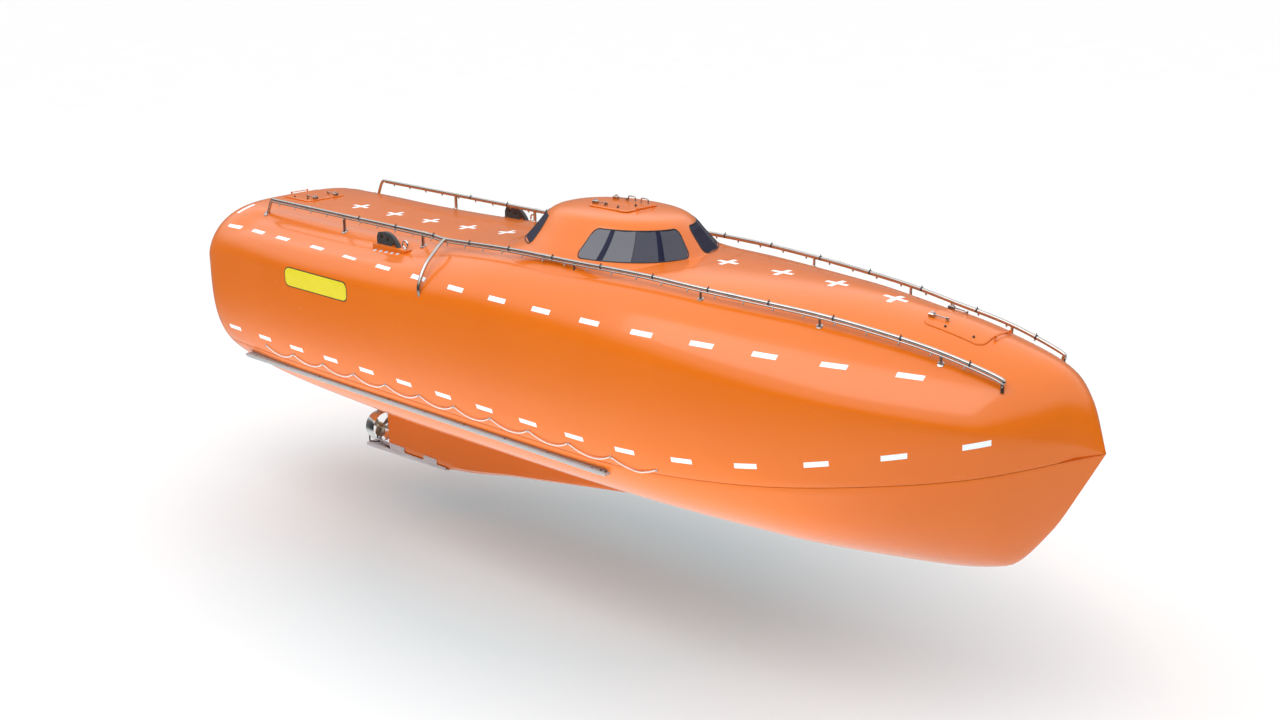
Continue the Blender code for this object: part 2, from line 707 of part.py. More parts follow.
def framed_box(name, middle, axis, toward, size, mat, coll):
    """Box with its sides along axis, toward and their cross product."""
    axis, toward = Vector(axis), Vector(toward)
    turn = Matrix((axis, toward, axis.cross(toward))).transposed().to_4x4()
    bm = bmesh.new()
    bmesh.ops.create_cube(bm, size=1.0)
    bmesh.ops.scale(bm, vec=size, verts=bm.verts)
    bmesh.ops.transform(bm, matrix=Matrix.Translation(Vector(middle)) @ turn, verts=bm.verts)
    bmesh.ops.recalc_face_normals(bm, faces=bm.faces)
    return from_bmesh(name, bm, mat, coll)


def hinge(panel, name, pin, axis, toward, mat, coll, seat):
    """Pin between two fixed blocks, and two arms with bores on the panel.

    axis runs along the pin, toward points from the pin to the panel, and the
    blocks reach down until the seat cuts them off.
    """
    pin, axis, toward = Vector(pin), Vector(axis), Vector(toward)
    up = axis.cross(toward)
    ends = axis * HINGE_HALF
    base = rod(name, pin - ends, pin + ends, HINGE_PIN, mat, coll, 12)
    for side in (-1, 1):
        middle = pin + axis * side * (HINGE_HALF - 0.012) - up * 0.03
        base = join_solids(base, [framed_box("block", middle, axis, toward,
                                             (0.024, 0.034, 0.094), mat, coll)])
        middle = pin + axis * side * (HINGE_HALF - 0.05) + toward * 0.025
        arm = framed_box("arm", middle, axis, toward, (0.03, 0.082, 0.026), mat, coll)
        join_solids(panel, [arm])
    bore = rod("bore", pin - ends * 1.3, pin + ends * 1.3, HINGE_PIN + 0.0004, None, coll, 12)
    boolean(panel, bore, "DIFFERENCE")
    boolean(base, seat, "DIFFERENCE", keep=True)
    return base


def latch(name, place, normal, along, mat, coll):
    """Lever latch: a round foot, a stem and a flat bar."""
    place, normal, along = Vector(place), Vector(normal).normalized(), Vector(along)
    along = (along - normal * along.dot(normal)).normalized()
    foot = rod(name, place, place + normal * 0.014, 0.028, mat, coll, 16)
    stem = rod("stem", place + normal * 0.005, place + normal * 0.04, 0.011, mat, coll, 12)
    middle = place + normal * 0.044 + along * 0.035
    bar = framed_box("bar", middle, along, normal, (0.15, 0.012, 0.026), mat, coll)
    return join_solids(foot, [stem, bar])


def cast(ob, start, direction):
    """First point of a mesh along a ray, with the facet's outward normal."""
    bm = bmesh.new()
    bm.from_mesh(ob.data)
    tree = BVHTree.FromBMesh(bm)
    bm.free()
    place, normal = tree.ray_cast(Vector(start), Vector(direction))[:2]
    return place, -normal if normal.dot(Vector(direction)) > 0 else normal


def build_deck_hatch(row, canopy, mats, coll, tools, envelope):
    name, x0, x1, half, end = row
    panel = deck_patch(name, x0, x1, half, -HATCH_SKIRT, HATCH_RISE, HATCH_CORNER, mats["orange"],
                       coll)
    boolean(panel, envelope, "DIFFERENCE", keep=True)
    hole = box("hole", (x0 + HATCH_LAP, HATCH_LAP - half, 1.7),
               (x1 - HATCH_LAP, half - HATCH_LAP, 2.7), None, tools)
    boolean(canopy, hole, "DIFFERENCE")
    edge = x1 if end > 0 else x0
    pin_x = edge + end * HINGE_OFF
    pin = (pin_x, 0, deck_height(pin_x, 0) + HINGE_LIFT)
    free = x0 if end > 0 else x1
    for side, word in ((-1, "starboard"), (1, "port")):
        place, normal = cast(panel, (free + end * LATCH_IN, side * LATCH_OFF, 4), (0, 0, -1))
        latch(f"{name}_latch_{word}", place + normal * GAP, normal, (-end, 0, 0), mats["steel"],
              coll)
    hinge(panel, name + "_hinge", pin, (0, end, 0), (-end, 0, 0), mats["steel"], coll, envelope)
    set_origin(panel, pin)
    return pin


def build_top_hatch(cupola, mats, coll, tools):
    x0, x1 = CUPOLA_X - TOP_HALF_LENGTH, CUPOLA_X + TOP_HALF_LENGTH
    base = CUPOLA_RINGS[-1][0]
    foot = base + TOP_THICK + GAP
    panel = slab("top_hatch", chamfered(x0, x1, TOP_HALF_WIDTH, 0.08), base + GAP, base + TOP_THICK,
                 mats["orange"], coll, 0.008)
    hole = box("hole", (CUPOLA_X - TOP_HOLE_LENGTH, -TOP_HOLE_WIDTH, 2.6),
               (CUPOLA_X + TOP_HOLE_LENGTH, TOP_HOLE_WIDTH, 3.0), None, tools)
    boolean(cupola, hole, "DIFFERENCE")
    pin = (x1 + HINGE_OFF, 0, base + HINGE_LIFT)
    roof = slab("roof", chamfered(CUPOLA_X - 0.6, CUPOLA_X + 0.6, 0.4, 0.1), 2.70,
                cupola_roof(pin[0]) + GAP, None, tools)
    hinge(panel, "top_hatch_hinge", pin, (0, 1, 0), (-1, 0, 0), mats["steel"], coll, roof)
    set_origin(panel, pin)
    for side, word in ((-1, "starboard"), (1, "port")):
        latch(f"top_hatch_latch_{word}", (x0 + LATCH_IN, side * LATCH_OFF, foot), (0, 0, 1),
              (-1, 0, 0), mats["steel"], coll)
    for word, x in (("aft", CUPOLA_X - 0.05), ("fore", CUPOLA_X + 0.17)):
        ends = (x - GRAB_LOOP_HALF, x + GRAB_LOOP_HALF)
        top = foot + GRAB_LOOP_RISE
        loop = [(ends[0], foot), (ends[0], top - 0.015), (ends[0] + 0.015, top),
                (ends[1] - 0.015, top), (ends[1], top - 0.015), (ends[1], foot)]
        loop = [(u, GRAB_LOOP_Y, v) for u, v in loop]
        tube(f"top_hatch_grab_{word}", loop, GRAB_LOOP_BAR, mats["steel"], coll)
    return pin


def cupola_roof(x):
    """Height of the cupola's roof on the centreline, where a ring reaches x."""
    reach = abs(x - CUPOLA_X)
    for low, high in zip(CUPOLA_RINGS[:-1], CUPOLA_RINGS[1:]):
        if high[1] <= reach <= low[1]:
            return low[0] + (high[0] - low[0]) * (low[1] - reach) / (low[1] - high[1])
    return CUPOLA_RINGS[-1][0]


def build_stern_door(canopy, mats, coll, tools, envelope):
    outline_half, out = DOOR_HALF + DOOR_LAP, STERN - DOOR_THICK
    door = box("stern_door", (out, -outline_half, DOOR_SILL - DOOR_LAP),
               (STERN - GAP, outline_half, DOOR_HEAD + DOOR_LAP), mats["orange"], coll, 0.008)
    hole = box("hole", (STERN - 0.2, -DOOR_HALF, DOOR_SILL), (STERN + 0.2, DOOR_HALF, DOOR_HEAD),
               None, tools)
    boolean(canopy, hole, "DIFFERENCE")
    pin = (STERN - 0.03, -outline_half - HINGE_OFF, (DOOR_SILL + DOOR_HEAD) / 2)
    hinge(door, "stern_door_hinge", pin, (0, 0, 1), (0, 1, 0), mats["steel"], coll, envelope)
    set_origin(door, pin)
    latch("stern_door_latch", (out - GAP, 0.25, 1.1), (-1, 0, 0), (0, 1, 0), mats["steel"], coll)
    return pin


# Drive and steering

def build_skeg(mats, coll, envelope):
    """Fin under the after body, with the bore that the propeller shaft runs in."""
    sole = SHOE_TOP + GAP + 0.001
    outline = [(SKEG_AFT, -0.3), (SKEG_AFT, sole)]
    outline += [(x, sole if z is None else z) for x, z in SKEG_OUTLINE_FORE]
    skeg = plate("skeg", outline, SKEG_THICK, 0, mats["orange"], coll)
    boolean(skeg, envelope, "DIFFERENCE", keep=True)
    bore = rod("bore", (SKEG_AFT - 0.1, 0, PROP_Z), (SKEG_AFT + SHAFT_LONG + 0.02, 0, PROP_Z),
               SHAFT_RADIUS + RUNNING, None, coll, 20)
    boolean(skeg, bore, "DIFFERENCE")
    return skeg


def build_shoe(mats, coll):
    """Heel bar under the skeg, with cheeks up its sides and the pintle's bore."""
    outline = [(SHOE_AFT, SHOE_BOTTOM), (SHOE_FORE, SHOE_BOTTOM + 0.045), (SHOE_TIP, SHOE_TOP - 0.01),
               (SHOE_TIP, SHOE_TOP), (SHOE_AFT + 0.06, SHOE_TOP), (SHOE_AFT, SHOE_TOP - 0.02)]
    shoe = plate("skeg_shoe", outline, SHOE_THICK, 0, mats["steel"], coll)
    cheeks = []
    runs = [(x0, x1, CHEEK_TAB) for x0, x1 in CHEEK_TABS] + [(CHEEK_TABS[0][0], SHOE_FORE, CHEEK_EDGE)]
    for x0, x1, rise in runs:
        for side in (-1, 1):
            y = side * (SKEG_THICK / 2 + CHEEK_OFF)
            low = (x0, y - CHEEK_THICK / 2, SHOE_TOP - 0.03)
            high = (x1, y + CHEEK_THICK / 2, SHOE_TOP + rise)
            cheeks.append(box("cheek", low, high, mats["steel"], coll))
    join_solids(shoe, cheeks)
    bore = rod("bore", (PROP_X, 0, SHOE_TOP + 0.1), (PROP_X, 0, SHOE_BOTTOM - 0.1),
               PINTLE_RADIUS + RUNNING, None, coll, 20)
    boolean(shoe, bore, "DIFFERENCE")
    return shoe


def build_nozzle(mats, coll):
    """Ring round the propeller on an upright stock, which swings to steer."""
    lip = NOZZLE_INNER + 0.012
    profile = [(NOZZLE_INNER, -NOZZLE_LENGTH / 2), (NOZZLE_INNER, NOZZLE_LENGTH / 2),
               (lip, NOZZLE_LENGTH / 2 + 0.006),
               (NOZZLE_OUTER, NOZZLE_LENGTH / 2 - 0.03), (NOZZLE_OUTER - 0.01, -NOZZLE_LENGTH / 2)]
    sides = 40
    bm = bmesh.new()
    rings = []
    for radius, x in profile:
        rings.append([bm.verts.new((PROP_X + x, radius * math.cos(2 * math.pi * k / sides),
                                    PROP_Z + radius * math.sin(2 * math.pi * k / sides)))
                      for k in range(sides)])
    for a, b in zip(rings, rings[1:] + rings[:1]):
        for k in range(sides):
            n = (k + 1) % sides
            bm.faces.new((a[k], a[n], b[n], b[k]))
    nozzle = finish_mesh(bm, "steering_nozzle", mats["bright"], coll)
    stock = rod("stock", (PROP_X, 0, PROP_Z + lip), (PROP_X, 0, BEARING_BOTTOM + STOCK_IN),
                STOCK_RADIUS, mats["bright"], coll, 20)
    palm = box("palm", (PROP_X - 0.07, -0.035, PROP_Z + NOZZLE_OUTER - 0.02),
               (PROP_X + 0.07, 0.035, PROP_Z + NOZZLE_OUTER + 0.014), mats["bright"], coll)
    pintle = rod("pintle", (PROP_X, 0, PROP_Z - lip), (PROP_X, 0, SHOE_BOTTOM + 0.01),
                 PINTLE_RADIUS, mats["bright"], coll, 20)
    nozzle = join_solids(nozzle, [stock, palm, pintle])
    set_origin(nozzle, (PROP_X, 0, PROP_Z))
    return nozzle


def build_bearing(mats, coll, envelope):
    """Round boss under the hull that the nozzle's stock turns in."""
    bearing = rod("stock_bearing", (PROP_X, 0, BEARING_BOTTOM), (PROP_X, 0, -0.4), BEARING_RADIUS,
                  mats["orange"], coll, 24)
    boolean(bearing, envelope, "DIFFERENCE", keep=True)
    bore = rod("bore", (PROP_X, 0, BEARING_BOTTOM - 0.1), (PROP_X, 0, BEARING_BOTTOM + STOCK_IN + RUNNING),
               STOCK_RADIUS + RUNNING, None, coll, 20)
    boolean(bearing, bore, "DIFFERENCE")
    return bearing


def build_propeller(mats, coll):
    """Three twisted blades on a hub, and the shaft that runs into the skeg."""
    hub = rod("propeller", (PROP_X - 0.07, 0, PROP_Z), (PROP_X + 0.06, 0, PROP_Z), HUB_RADIUS,
              mats["bronze"], coll, 20)
    shaft = rod("shaft", (PROP_X + 0.05, 0, PROP_Z), (SKEG_AFT + SHAFT_LONG, 0, PROP_Z), SHAFT_RADIUS,
                mats["bronze"], coll, 20)
    cone = rod("cone", (PROP_X - 0.065, 0, PROP_Z), (PROP_X - 0.12, 0, PROP_Z), HUB_RADIUS * 0.95,
               mats["bronze"], coll, 20, radius_end=0.012)
    join_solids(hub, [shaft, cone])
    for k in range(BLADES):
        join_solids(hub, [build_blade(2 * math.pi * k / BLADES + BLADE_TURN, mats, coll)])
    set_origin(hub, (PROP_X, 0, PROP_Z))
    return hub


def build_blade(turn, mats, coll):
    """Twisted blade, lofted through its sections from the root to the tip."""
    bm = bmesh.new()
    rings = []
    for share, chord, pitch in BLADE_SECTIONS:
        radius = PROP_RADIUS * share
        p = math.radians(pitch)
        thick = BLADE_ROOT - BLADE_THINNING * share
        ring = []
        for side, order in ((1, BLADE_CHORD), (-1, BLADE_CHORD[::-1])):
            for c in order:
                swell = thick * (1 - (2 * c) ** 2) + BLADE_EDGE
                along = c * chord
                angle = turn + along * math.cos(p) / radius
                x = along * math.sin(p) + side * swell * 0.5
                ring.append(bm.verts.new((PROP_X + x, radius * math.cos(angle),
                                          PROP_Z + radius * math.sin(angle))))
        rings.append(ring)
    for a, b in zip(rings[:-1], rings[1:]):
        for k in range(len(a)):
            n = (k + 1) % len(a)
            bm.faces.new((a[k], a[n], b[n], b[k]))
    bm.faces.new(rings[0])
    bm.faces.new(rings[-1])
    bmesh.ops.triangulate(bm, faces=bm.faces[:])
    return finish_mesh(bm, "blade", mats["bronze"], coll)


def build_outlet(mats, coll, envelope):
    """Dark cooling water pipe that leaves the hull aft of the nozzle."""
    pipe = tube("outlet_pipe", OUTLET, OUTLET_RADIUS, mats["dark"], coll, 3)
    boolean(pipe, envelope, "DIFFERENCE", keep=True)
    return pipe


# Deck fittings

def rail_path():
    """Centre points of the starboard pipes: the after one and the fore one."""
    after = [(x, -RAIL_HALF, RAIL_TOP + z) for x, z in RAIL_AFT]
    after.append((RAIL_JOINT - GAP, -RAIL_HALF, RAIL_TOP))
    fore = [(RAIL_JOINT, -RAIL_HALF, RAIL_TOP), (RAIL_JOINT + 0.1, -RAIL_HALF, RAIL_TOP)]
    for x, off in RAIL_PLAN:
        lead = min(max((x + 2.2) / 1.6, 0.0), 1.0)
        z = deck_height(x, -off) + RAIL_STANDOFF
        fore.append((x, -off, RAIL_TOP + (z - RAIL_TOP) * lead))
    x, off = RAIL_PLAN[-1]
    fore.append((x + 0.05, -off, deck_height(x, -off) - 0.02))
    return after, fore


def build_handrails(mats, coll, envelope):
    """Spray pipe that is the handrail too, in two lengths on round posts."""
    after, fore = rail_path()
    rails = []
    for name, path, radius, feet in (
            ("handrail_aft_starboard", after, POST_AFT_RADIUS,
             [(x, -RAIL_HALF, RAIL_TOP) for x in AFT_POSTS]),
            ("handrail_fore_starboard", fore, POST_FORE_RADIUS, fore[4:-2:2])):
        rail = tube(name, path, RAIL_RADIUS, mats["steel"], coll)
        parts = [rod("post", foot, (foot[0], foot[1], foot[2] - 0.6), radius, mats["steel"], coll, 12)
                 for foot in feet]
        if path is fore:
            branch = [(x, -off, RAIL_TOP + z) for x, off, z in BRANCH]
            parts.append(tube("branch", branch, POST_AFT_RADIUS, mats["steel"], coll))
        join_solids(rail, parts)
        boolean(rail, envelope, "DIFFERENCE", keep=True)
        rails.append(rail)
    return rails


def lug_foot_top():
    """Height of the foot's upper face, just over the deck's highest point there."""
    return deck_height(LUG_FORE + LUG_FOOT_LONG, LUG_OFF - LUG_FOOT_HALF) + LUG_FOOT


def build_lug(mats, coll, envelope):
    """Quarter-round plate with three slots on a foot that follows the deck."""
    deck = deck_height(LUG_AFT, LUG_OFF)
    outline = [(LUG_AFT, deck - 0.08), (LUG_FORE, deck - 0.08), (LUG_FORE, deck + 0.04)]
    outline += arc((LUG_AFT + 0.18, deck - 0.07), 0.31, 20, 90, 6)
    outline += [(LUG_AFT + 0.03, deck + 0.215), (LUG_AFT, deck + 0.15)]
    holes = []
    for x, z in LUG_HOLES:
        ring = arc((0, 0), LUG_HOLE_RADIUS, 0, 330, 11)
        holes.append([(LUG_AFT + x + u * 0.8, deck + z + v) for u, v in ring])
    lug = plate("lifting_lug_starboard", [outline] + holes, LUG_THICK, -LUG_OFF, mats["dark"], coll)
    foot = box("foot", (LUG_AFT - 0.04, -LUG_OFF - LUG_FOOT_HALF, deck - 0.1),
               (LUG_FORE + LUG_FOOT_LONG, -LUG_OFF + LUG_FOOT_HALF, lug_foot_top()), mats["dark"], coll)
    join_solids(lug, [foot])
    boolean(lug, envelope, "DIFFERENCE", keep=True)
    return lug


def build_eye(mats, coll):
    """Ring bolt on the lug's foot, where a hook goes in."""
    x, z = LUG_FORE + 0.078, lug_foot_top() + EYE_RADIUS + EYE_BAR + GAP
    turns = [2 * math.pi * k / 16 for k in range(16)]
    ring = [(x + EYE_RADIUS * math.cos(t), -LUG_OFF, z + EYE_RADIUS * math.sin(t)) for t in turns]
    curve = bpy.data.curves.new("lifting_eye_starboard", "CURVE")
    curve.dimensions = "3D"
    curve.bevel_depth = EYE_BAR
    curve.bevel_resolution = 2
    spline = curve.splines.new("POLY")
    spline.points.add(len(ring) - 1)
    for point, co in zip(spline.points, ring):
        point.co = (*co, 1)
    spline.use_cyclic_u = True
    holder = bpy.data.objects.new("eye", curve)
    coll.objects.link(holder)
    mesh = bpy.data.meshes.new_from_object(holder)
    bpy.data.objects.remove(holder, do_unlink=True)
    bm = bmesh.new()
    bm.from_mesh(mesh)
    bmesh.ops.remove_doubles(bm, verts=bm.verts, dist=0.00005)
    bmesh.ops.recalc_face_normals(bm, faces=bm.faces)
    return from_bmesh("lifting_eye_starboard", bm, mats["bright"], coll)


def build_launch_rail(mats, coll, envelope):
    """Runner under the side that the boat slides down its ramp on."""
    rail = box("launch_rail_starboard", (SLIDE_AFT, -SLIDE_OUT, SLIDE_BOTTOM),
               (SLIDE_FORE, -SLIDE_OUT + 0.30, SLIDE_TOP), mats["rail"], coll, 0.006)
    boolean(rail, envelope, "DIFFERENCE", keep=True)
    return rail


def build_grab_line(mats, coll, envelope):
    """Scalloped lifeline under the lower tape row, held to the side at each cusp."""
    points = []
    for k in range(GRAB_LOOPS * GRAB_STEPS + 1):
        t = k % GRAB_STEPS / GRAB_STEPS
        x = GRAB_AFT + GRAB_PITCH * k / GRAB_STEPS
        z = GRAB_TOP - GRAB_SAG * 4 * t * (1 - t)
        place, normal = cast(envelope, (x, -4, z), (0, 1, 0))
        points.append(place + normal * (GRAB_RADIUS * 0.8 + GRAB_LIFT * math.sin(math.pi * t)))
    line = tube("grab_line_starboard", points, GRAB_RADIUS, mats["line"], coll, 1)
    boolean(line, envelope, "DIFFERENCE", keep=True)
    return line


def build_hook(mats, coll, envelope):
    """Plate with an eye behind the transom, which holds the boat in its ramp."""
    middle = (STERN - HOOK_REACH, HOOK_Z)
    outline = [(STERN + 0.05, HOOK_Z - 0.12), (middle[0], HOOK_Z - HOOK_RADIUS)]
    outline += arc(middle, HOOK_RADIUS, 270, 90, 8)
    outline += [(STERN + 0.05, HOOK_Z + 0.20)]
    hole = arc(middle, HOOK_HOLE, 0, 330, 11)
    hook = plate("release_hook", [outline, hole], HOOK_THICK, 0, mats["dark"], coll)
    boolean(hook, envelope, "DIFFERENCE", keep=True)
    return hook


# Inside the cabin

def build_inside(mats, coll, cavity):
    """Floor, engine on its bed, and the raised helm under the cupola."""
    grey = mats["grey"]
    floor = SOLE_TOP + GAP
    sole = box("cabin_sole", (SOLE_AFT, -1.8, SOLE_TOP - SOLE_THICK), (SOLE_FORE, 1.8, SOLE_TOP), grey, coll)
    boolean(sole, cavity, "INTERSECT", keep=True)
    low, high = ENGINE
    well = box("well", (low[0] - ENGINE_ROOM, low[1] - ENGINE_ROOM, -1),
               (high[0] + ENGINE_ROOM, high[1] + ENGINE_ROOM, 1), None, coll)
    boolean(sole, well, "DIFFERENCE")
    bed = box("engine_bed", (low[0] + 0.05, -0.25, -0.8), (high[0] - 0.05, 0.25, low[2] - GAP), grey, coll)
    boolean(bed, cavity, "INTERSECT", keep=True)
    box("engine_block", low, high, mats["dark"], coll, 0.02)
    box("helm_platform", (-0.55, -0.30, floor), (0.35, 0.30, SEAT_HEIGHT), grey, coll, 0.01)
    seat = box("helm_seat", (-0.45, -0.24, SEAT_HEIGHT + GAP), (0.05, 0.24, SEAT_HEIGHT + 0.37),
               mats["seat"], coll, 0.03)
    back = box("back", (-0.50, -0.24, SEAT_HEIGHT + 0.10), (-0.38, 0.24, 2.42), mats["seat"], coll, 0.03)
    join_solids(seat, [back])
    box("helm_console", (0.55, -0.35, floor), (0.95, 0.35, 2.05), grey, coll, 0.02)


def main():
    clear_scene()
    coll = new_collection("enclosed_lifeboat")
    tools = new_collection("cutters")
    mats = {
        "orange": material("orange_gelcoat", (0.80, 0.22, 0.03), 0.3),
        "glass": material("tinted_window", (0.05, 0.06, 0.08), 0.08, alpha=0.5),
        "steel": material("satin_steel", (0.55, 0.55, 0.55), 0.3, 1.0),
        "bright": material("polished_steel", (0.75, 0.75, 0.76), 0.12, 1.0),
        "bronze": material("propeller_bronze", (0.60, 0.45, 0.22), 0.25, 1.0),
        "rail": material("slide_rail", (0.55, 0.57, 0.60), 0.45, 0.3),
        "dark": material("dark_grey_paint", (0.09, 0.10, 0.11), 0.5),
        "grey": material("inside_grey", (0.45, 0.46, 0.46), 0.6),
        "seat": material("seat_blue", (0.05, 0.07, 0.14), 0.8),
        "line": material("white_line", (0.85, 0.83, 0.80), 0.8),
    }
    envelope = filled_hull("outer_form", 0.0, GAP, tools)
    cavity = filled_hull("inner_form", WALL, -GAP, tools)
    hull = shell("whole_hull", "hull", mats["orange"], coll)
    canopy = shell("whole_canopy", "canopy", mats["orange"], coll)
    hole = box("hole", (TRUNK_X - TRUNK_HALF_LENGTH, -TRUNK_HALF_WIDTH, 2.0),
               (TRUNK_X + TRUNK_HALF_LENGTH, TRUNK_HALF_WIDTH, 2.7), None, tools)
    boolean(canopy, hole, "DIFFERENCE")
    cupola = build_cupola(mats, coll, tools, envelope)
    build_top_hatch(cupola, mats, coll, tools)
    for row in HATCHES:
        build_deck_hatch(row, canopy, mats, coll, tools, envelope)
    build_stern_door(canopy, mats, coll, tools, envelope)
    split_sections(hull, HULL_SECTIONS, coll)
    split_sections(canopy, CANOPY_SECTIONS, coll)
    build_skeg(mats, coll, envelope)
    build_shoe(mats, coll)
    build_nozzle(mats, coll)
    build_bearing(mats, coll, envelope)
    build_propeller(mats, coll)
    build_outlet(mats, coll, envelope)
    starboard = build_handrails(mats, coll, envelope)
    starboard.append(build_lug(mats, coll, envelope))
    starboard.append(build_eye(mats, coll))
    starboard.append(build_launch_rail(mats, coll, envelope))
    starboard.append(build_grab_line(mats, coll, envelope))
    for ob in starboard:
        mirrored(ob, ob.name.replace("starboard", "port"), ob.data.materials[0])
    build_hook(mats, coll, envelope)
    build_inside(mats, coll, cavity)
    for ob in list(tools.objects):
        ob.hide_render = True
        ob.display_type = "WIRE"


main()
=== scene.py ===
# %% [markdown]
# # A free-fall lifeboat, dressed for its picture
# This lesson takes the plain solids of an enclosed lifeboat and gives them
# the forms and finishes of the real boat: glossy orange gelcoat, tinted
# windows, steel pipes, white reflective tape and a rope lifeline. The solids
# come in as a fixed frame, in metres, with +X to the bow, +Y to port and +Z
# up, so every new piece is simply modelled where it belongs.

# %% Load the frame
import json
import math

import bmesh
import bpy
from mathutils import Matrix, Vector
from mathutils.bvhtree import BVHTree


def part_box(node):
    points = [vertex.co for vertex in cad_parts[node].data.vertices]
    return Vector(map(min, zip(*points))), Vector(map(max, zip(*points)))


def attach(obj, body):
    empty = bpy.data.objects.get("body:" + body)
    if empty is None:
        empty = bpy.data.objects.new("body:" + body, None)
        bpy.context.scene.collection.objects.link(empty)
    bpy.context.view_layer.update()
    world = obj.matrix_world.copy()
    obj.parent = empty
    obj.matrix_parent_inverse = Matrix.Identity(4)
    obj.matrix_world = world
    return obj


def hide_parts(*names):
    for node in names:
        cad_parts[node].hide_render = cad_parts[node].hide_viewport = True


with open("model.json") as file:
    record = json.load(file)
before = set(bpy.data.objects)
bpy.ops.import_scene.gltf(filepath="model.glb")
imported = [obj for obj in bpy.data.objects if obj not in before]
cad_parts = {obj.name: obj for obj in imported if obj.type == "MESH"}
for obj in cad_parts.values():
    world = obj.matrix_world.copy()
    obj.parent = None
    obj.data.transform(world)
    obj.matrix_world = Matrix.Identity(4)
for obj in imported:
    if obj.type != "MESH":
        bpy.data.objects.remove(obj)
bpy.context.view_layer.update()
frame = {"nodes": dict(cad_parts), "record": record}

# %% [markdown]
# ## The camera
# The photograph looks down on the starboard bow. The hull's own proportions
# gave the lens and the place: the numbers below put the stem, the cupola and
# the stern where the picture has them. A camera needs nothing but a place, a
# turn and a lens.

# %% Camera
CAMERA_PLACE = (13.92, -14.58, 6.90)
CAMERA_TURN = (73.15, 0.0, 42.52)       # degrees about X, Y and Z
CAMERA_LENS, CAMERA_FILM = 45.0, 36.0   # millimetres

scene = bpy.context.scene
eye = bpy.data.objects.new("camera", bpy.data.cameras.new("camera"))
scene.collection.objects.link(eye)
eye.location = CAMERA_PLACE
eye.rotation_euler = [math.radians(a) for a in CAMERA_TURN]
eye.data.lens = CAMERA_LENS
eye.data.sensor_width = CAMERA_FILM
eye.data.clip_end = 500
scene.camera = eye
scene.view_settings.view_transform = "Standard"
print("camera at", CAMERA_PLACE)

# %% [markdown]
# ## Shader sums
# A finish is a sum of patterns. Written as nodes it takes many lines, so one
# small class wraps a socket: adding or multiplying two of them adds a Math
# node. Colours must not go through Math, which would turn them grey, so they
# are blended by `mix`. Every other node comes from `put`, which sets the
# node's settings before its sockets.

# %% Sockets that can be used in sums
class Wire:
    """One output socket, or a whole node tree before there is one."""

    def __init__(self, tree, socket=None):
        self.tree, self.socket = tree, socket

    def put(self, kind, settings=None, inputs=None, out=0):
        node = self.tree.nodes.new(kind)
        for key, value in (settings or {}).items():
            if key == "stops":
                ramp = node.color_ramp.elements
                while len(ramp) < len(value):
                    ramp.new(1.0)
                for stop, (place, level) in zip(ramp, value):
                    stop.position, stop.color = place, (level, level, level, 1)
            else:
                setattr(node, key, value)
        for key, value in (inputs or {}).items():
            if isinstance(value, Wire):
                self.tree.links.new(value.socket, node.inputs[key])
            else:
                node.inputs[key].default_value = value
        return Wire(self.tree, node.outputs[out])

    def math(self, operation, first, second):
        return self.put("ShaderNodeMath", {"operation": operation}, {0: first, 1: second})

    def __add__(self, other):
        return self.math("ADD", self, other)

    def __sub__(self, other):
        return self.math("SUBTRACT", self, other)

    def __mul__(self, other):
        return self.math("MULTIPLY", self, other)

    def __radd__(self, other):
        return self.math("ADD", other, self)

    def __rsub__(self, other):
        return self.math("SUBTRACT", other, self)

    def __rmul__(self, other):
        return self.math("MULTIPLY", other, self)

    def mix(self, dark, light):
        """Colour between two others, by this value."""
        return self.put("ShaderNodeMix", {"data_type": "RGBA"}, {0: self, 6: dark, 7: light}, 2)

    def ramp(self, *stops):
        return self.put("ShaderNodeValToRGB", {"stops": stops}, {0: self})


def rgb(red, green, blue):
    return (red, green, blue, 1.0)


# %% [markdown]
# ## Patterns that every finish shares
# All patterns are read in the object's own coordinates, which are metres
# here. A pattern of scale 40 then has cells of about 25 mm, whatever the
# piece, and it rides with the piece when a hatch opens.

# %% Noise, grain and cells in metres
def space(tree, stretch=(1, 1, 1)):
    """The object's own coordinates, stretched."""
    place = Wire(tree).put("ShaderNodeTexCoord", out="Object")
    return place.put("ShaderNodeMapping", None, {"Vector": place, "Scale": stretch})


def noise(place, scale, detail=3.0, rough=0.5):
    return place.put("ShaderNodeTexNoise", None,
                     {"Vector": place, "Scale": scale, "Detail": detail, "Roughness": rough})


def cells(place, scale, feature="F1"):
    return place.put("ShaderNodeTexVoronoi", {"feature": feature}, {"Vector": place, "Scale": scale})


def bands(place, scale, direction="X", warp=0.0):
    return place.put("ShaderNodeTexWave", {"bands_direction": direction},
                     {"Vector": place, "Scale": scale, "Distortion": warp, "Detail": 1.0})


def finish(name, build, **plain):
    """A material: build(tree) gives what varies, plain gives what does not."""
    mat = bpy.data.materials.new(name)
    mat.use_nodes = True
    tree = mat.node_tree
    shader = tree.nodes["Principled BSDF"]
    for key, value in plain.items():
        shader.inputs[key.replace("_", " ").title().replace("Ior", "IOR")].default_value = value
    for key, value in build(tree).items():
        if key == "Height":
            height, strength, depth = value
            value = height.put("ShaderNodeBump", None,
                               {"Height": height, "Strength": strength, "Distance": depth})
            key = "Normal"
        tree.links.new(value.socket, shader.inputs[key])
    return mat


# %% [markdown]
# ## Orange gelcoat
# The hull is glass fibre with a coloured gelcoat that was sprayed into a
# polished mould. It is glossy, its colour wanders a little from batch to
# batch, and close to it one sees the faint orange peel of the mould and some
# fine scuffs that are duller than the rest. Very low bump keeps the long soft
# reflections smooth.

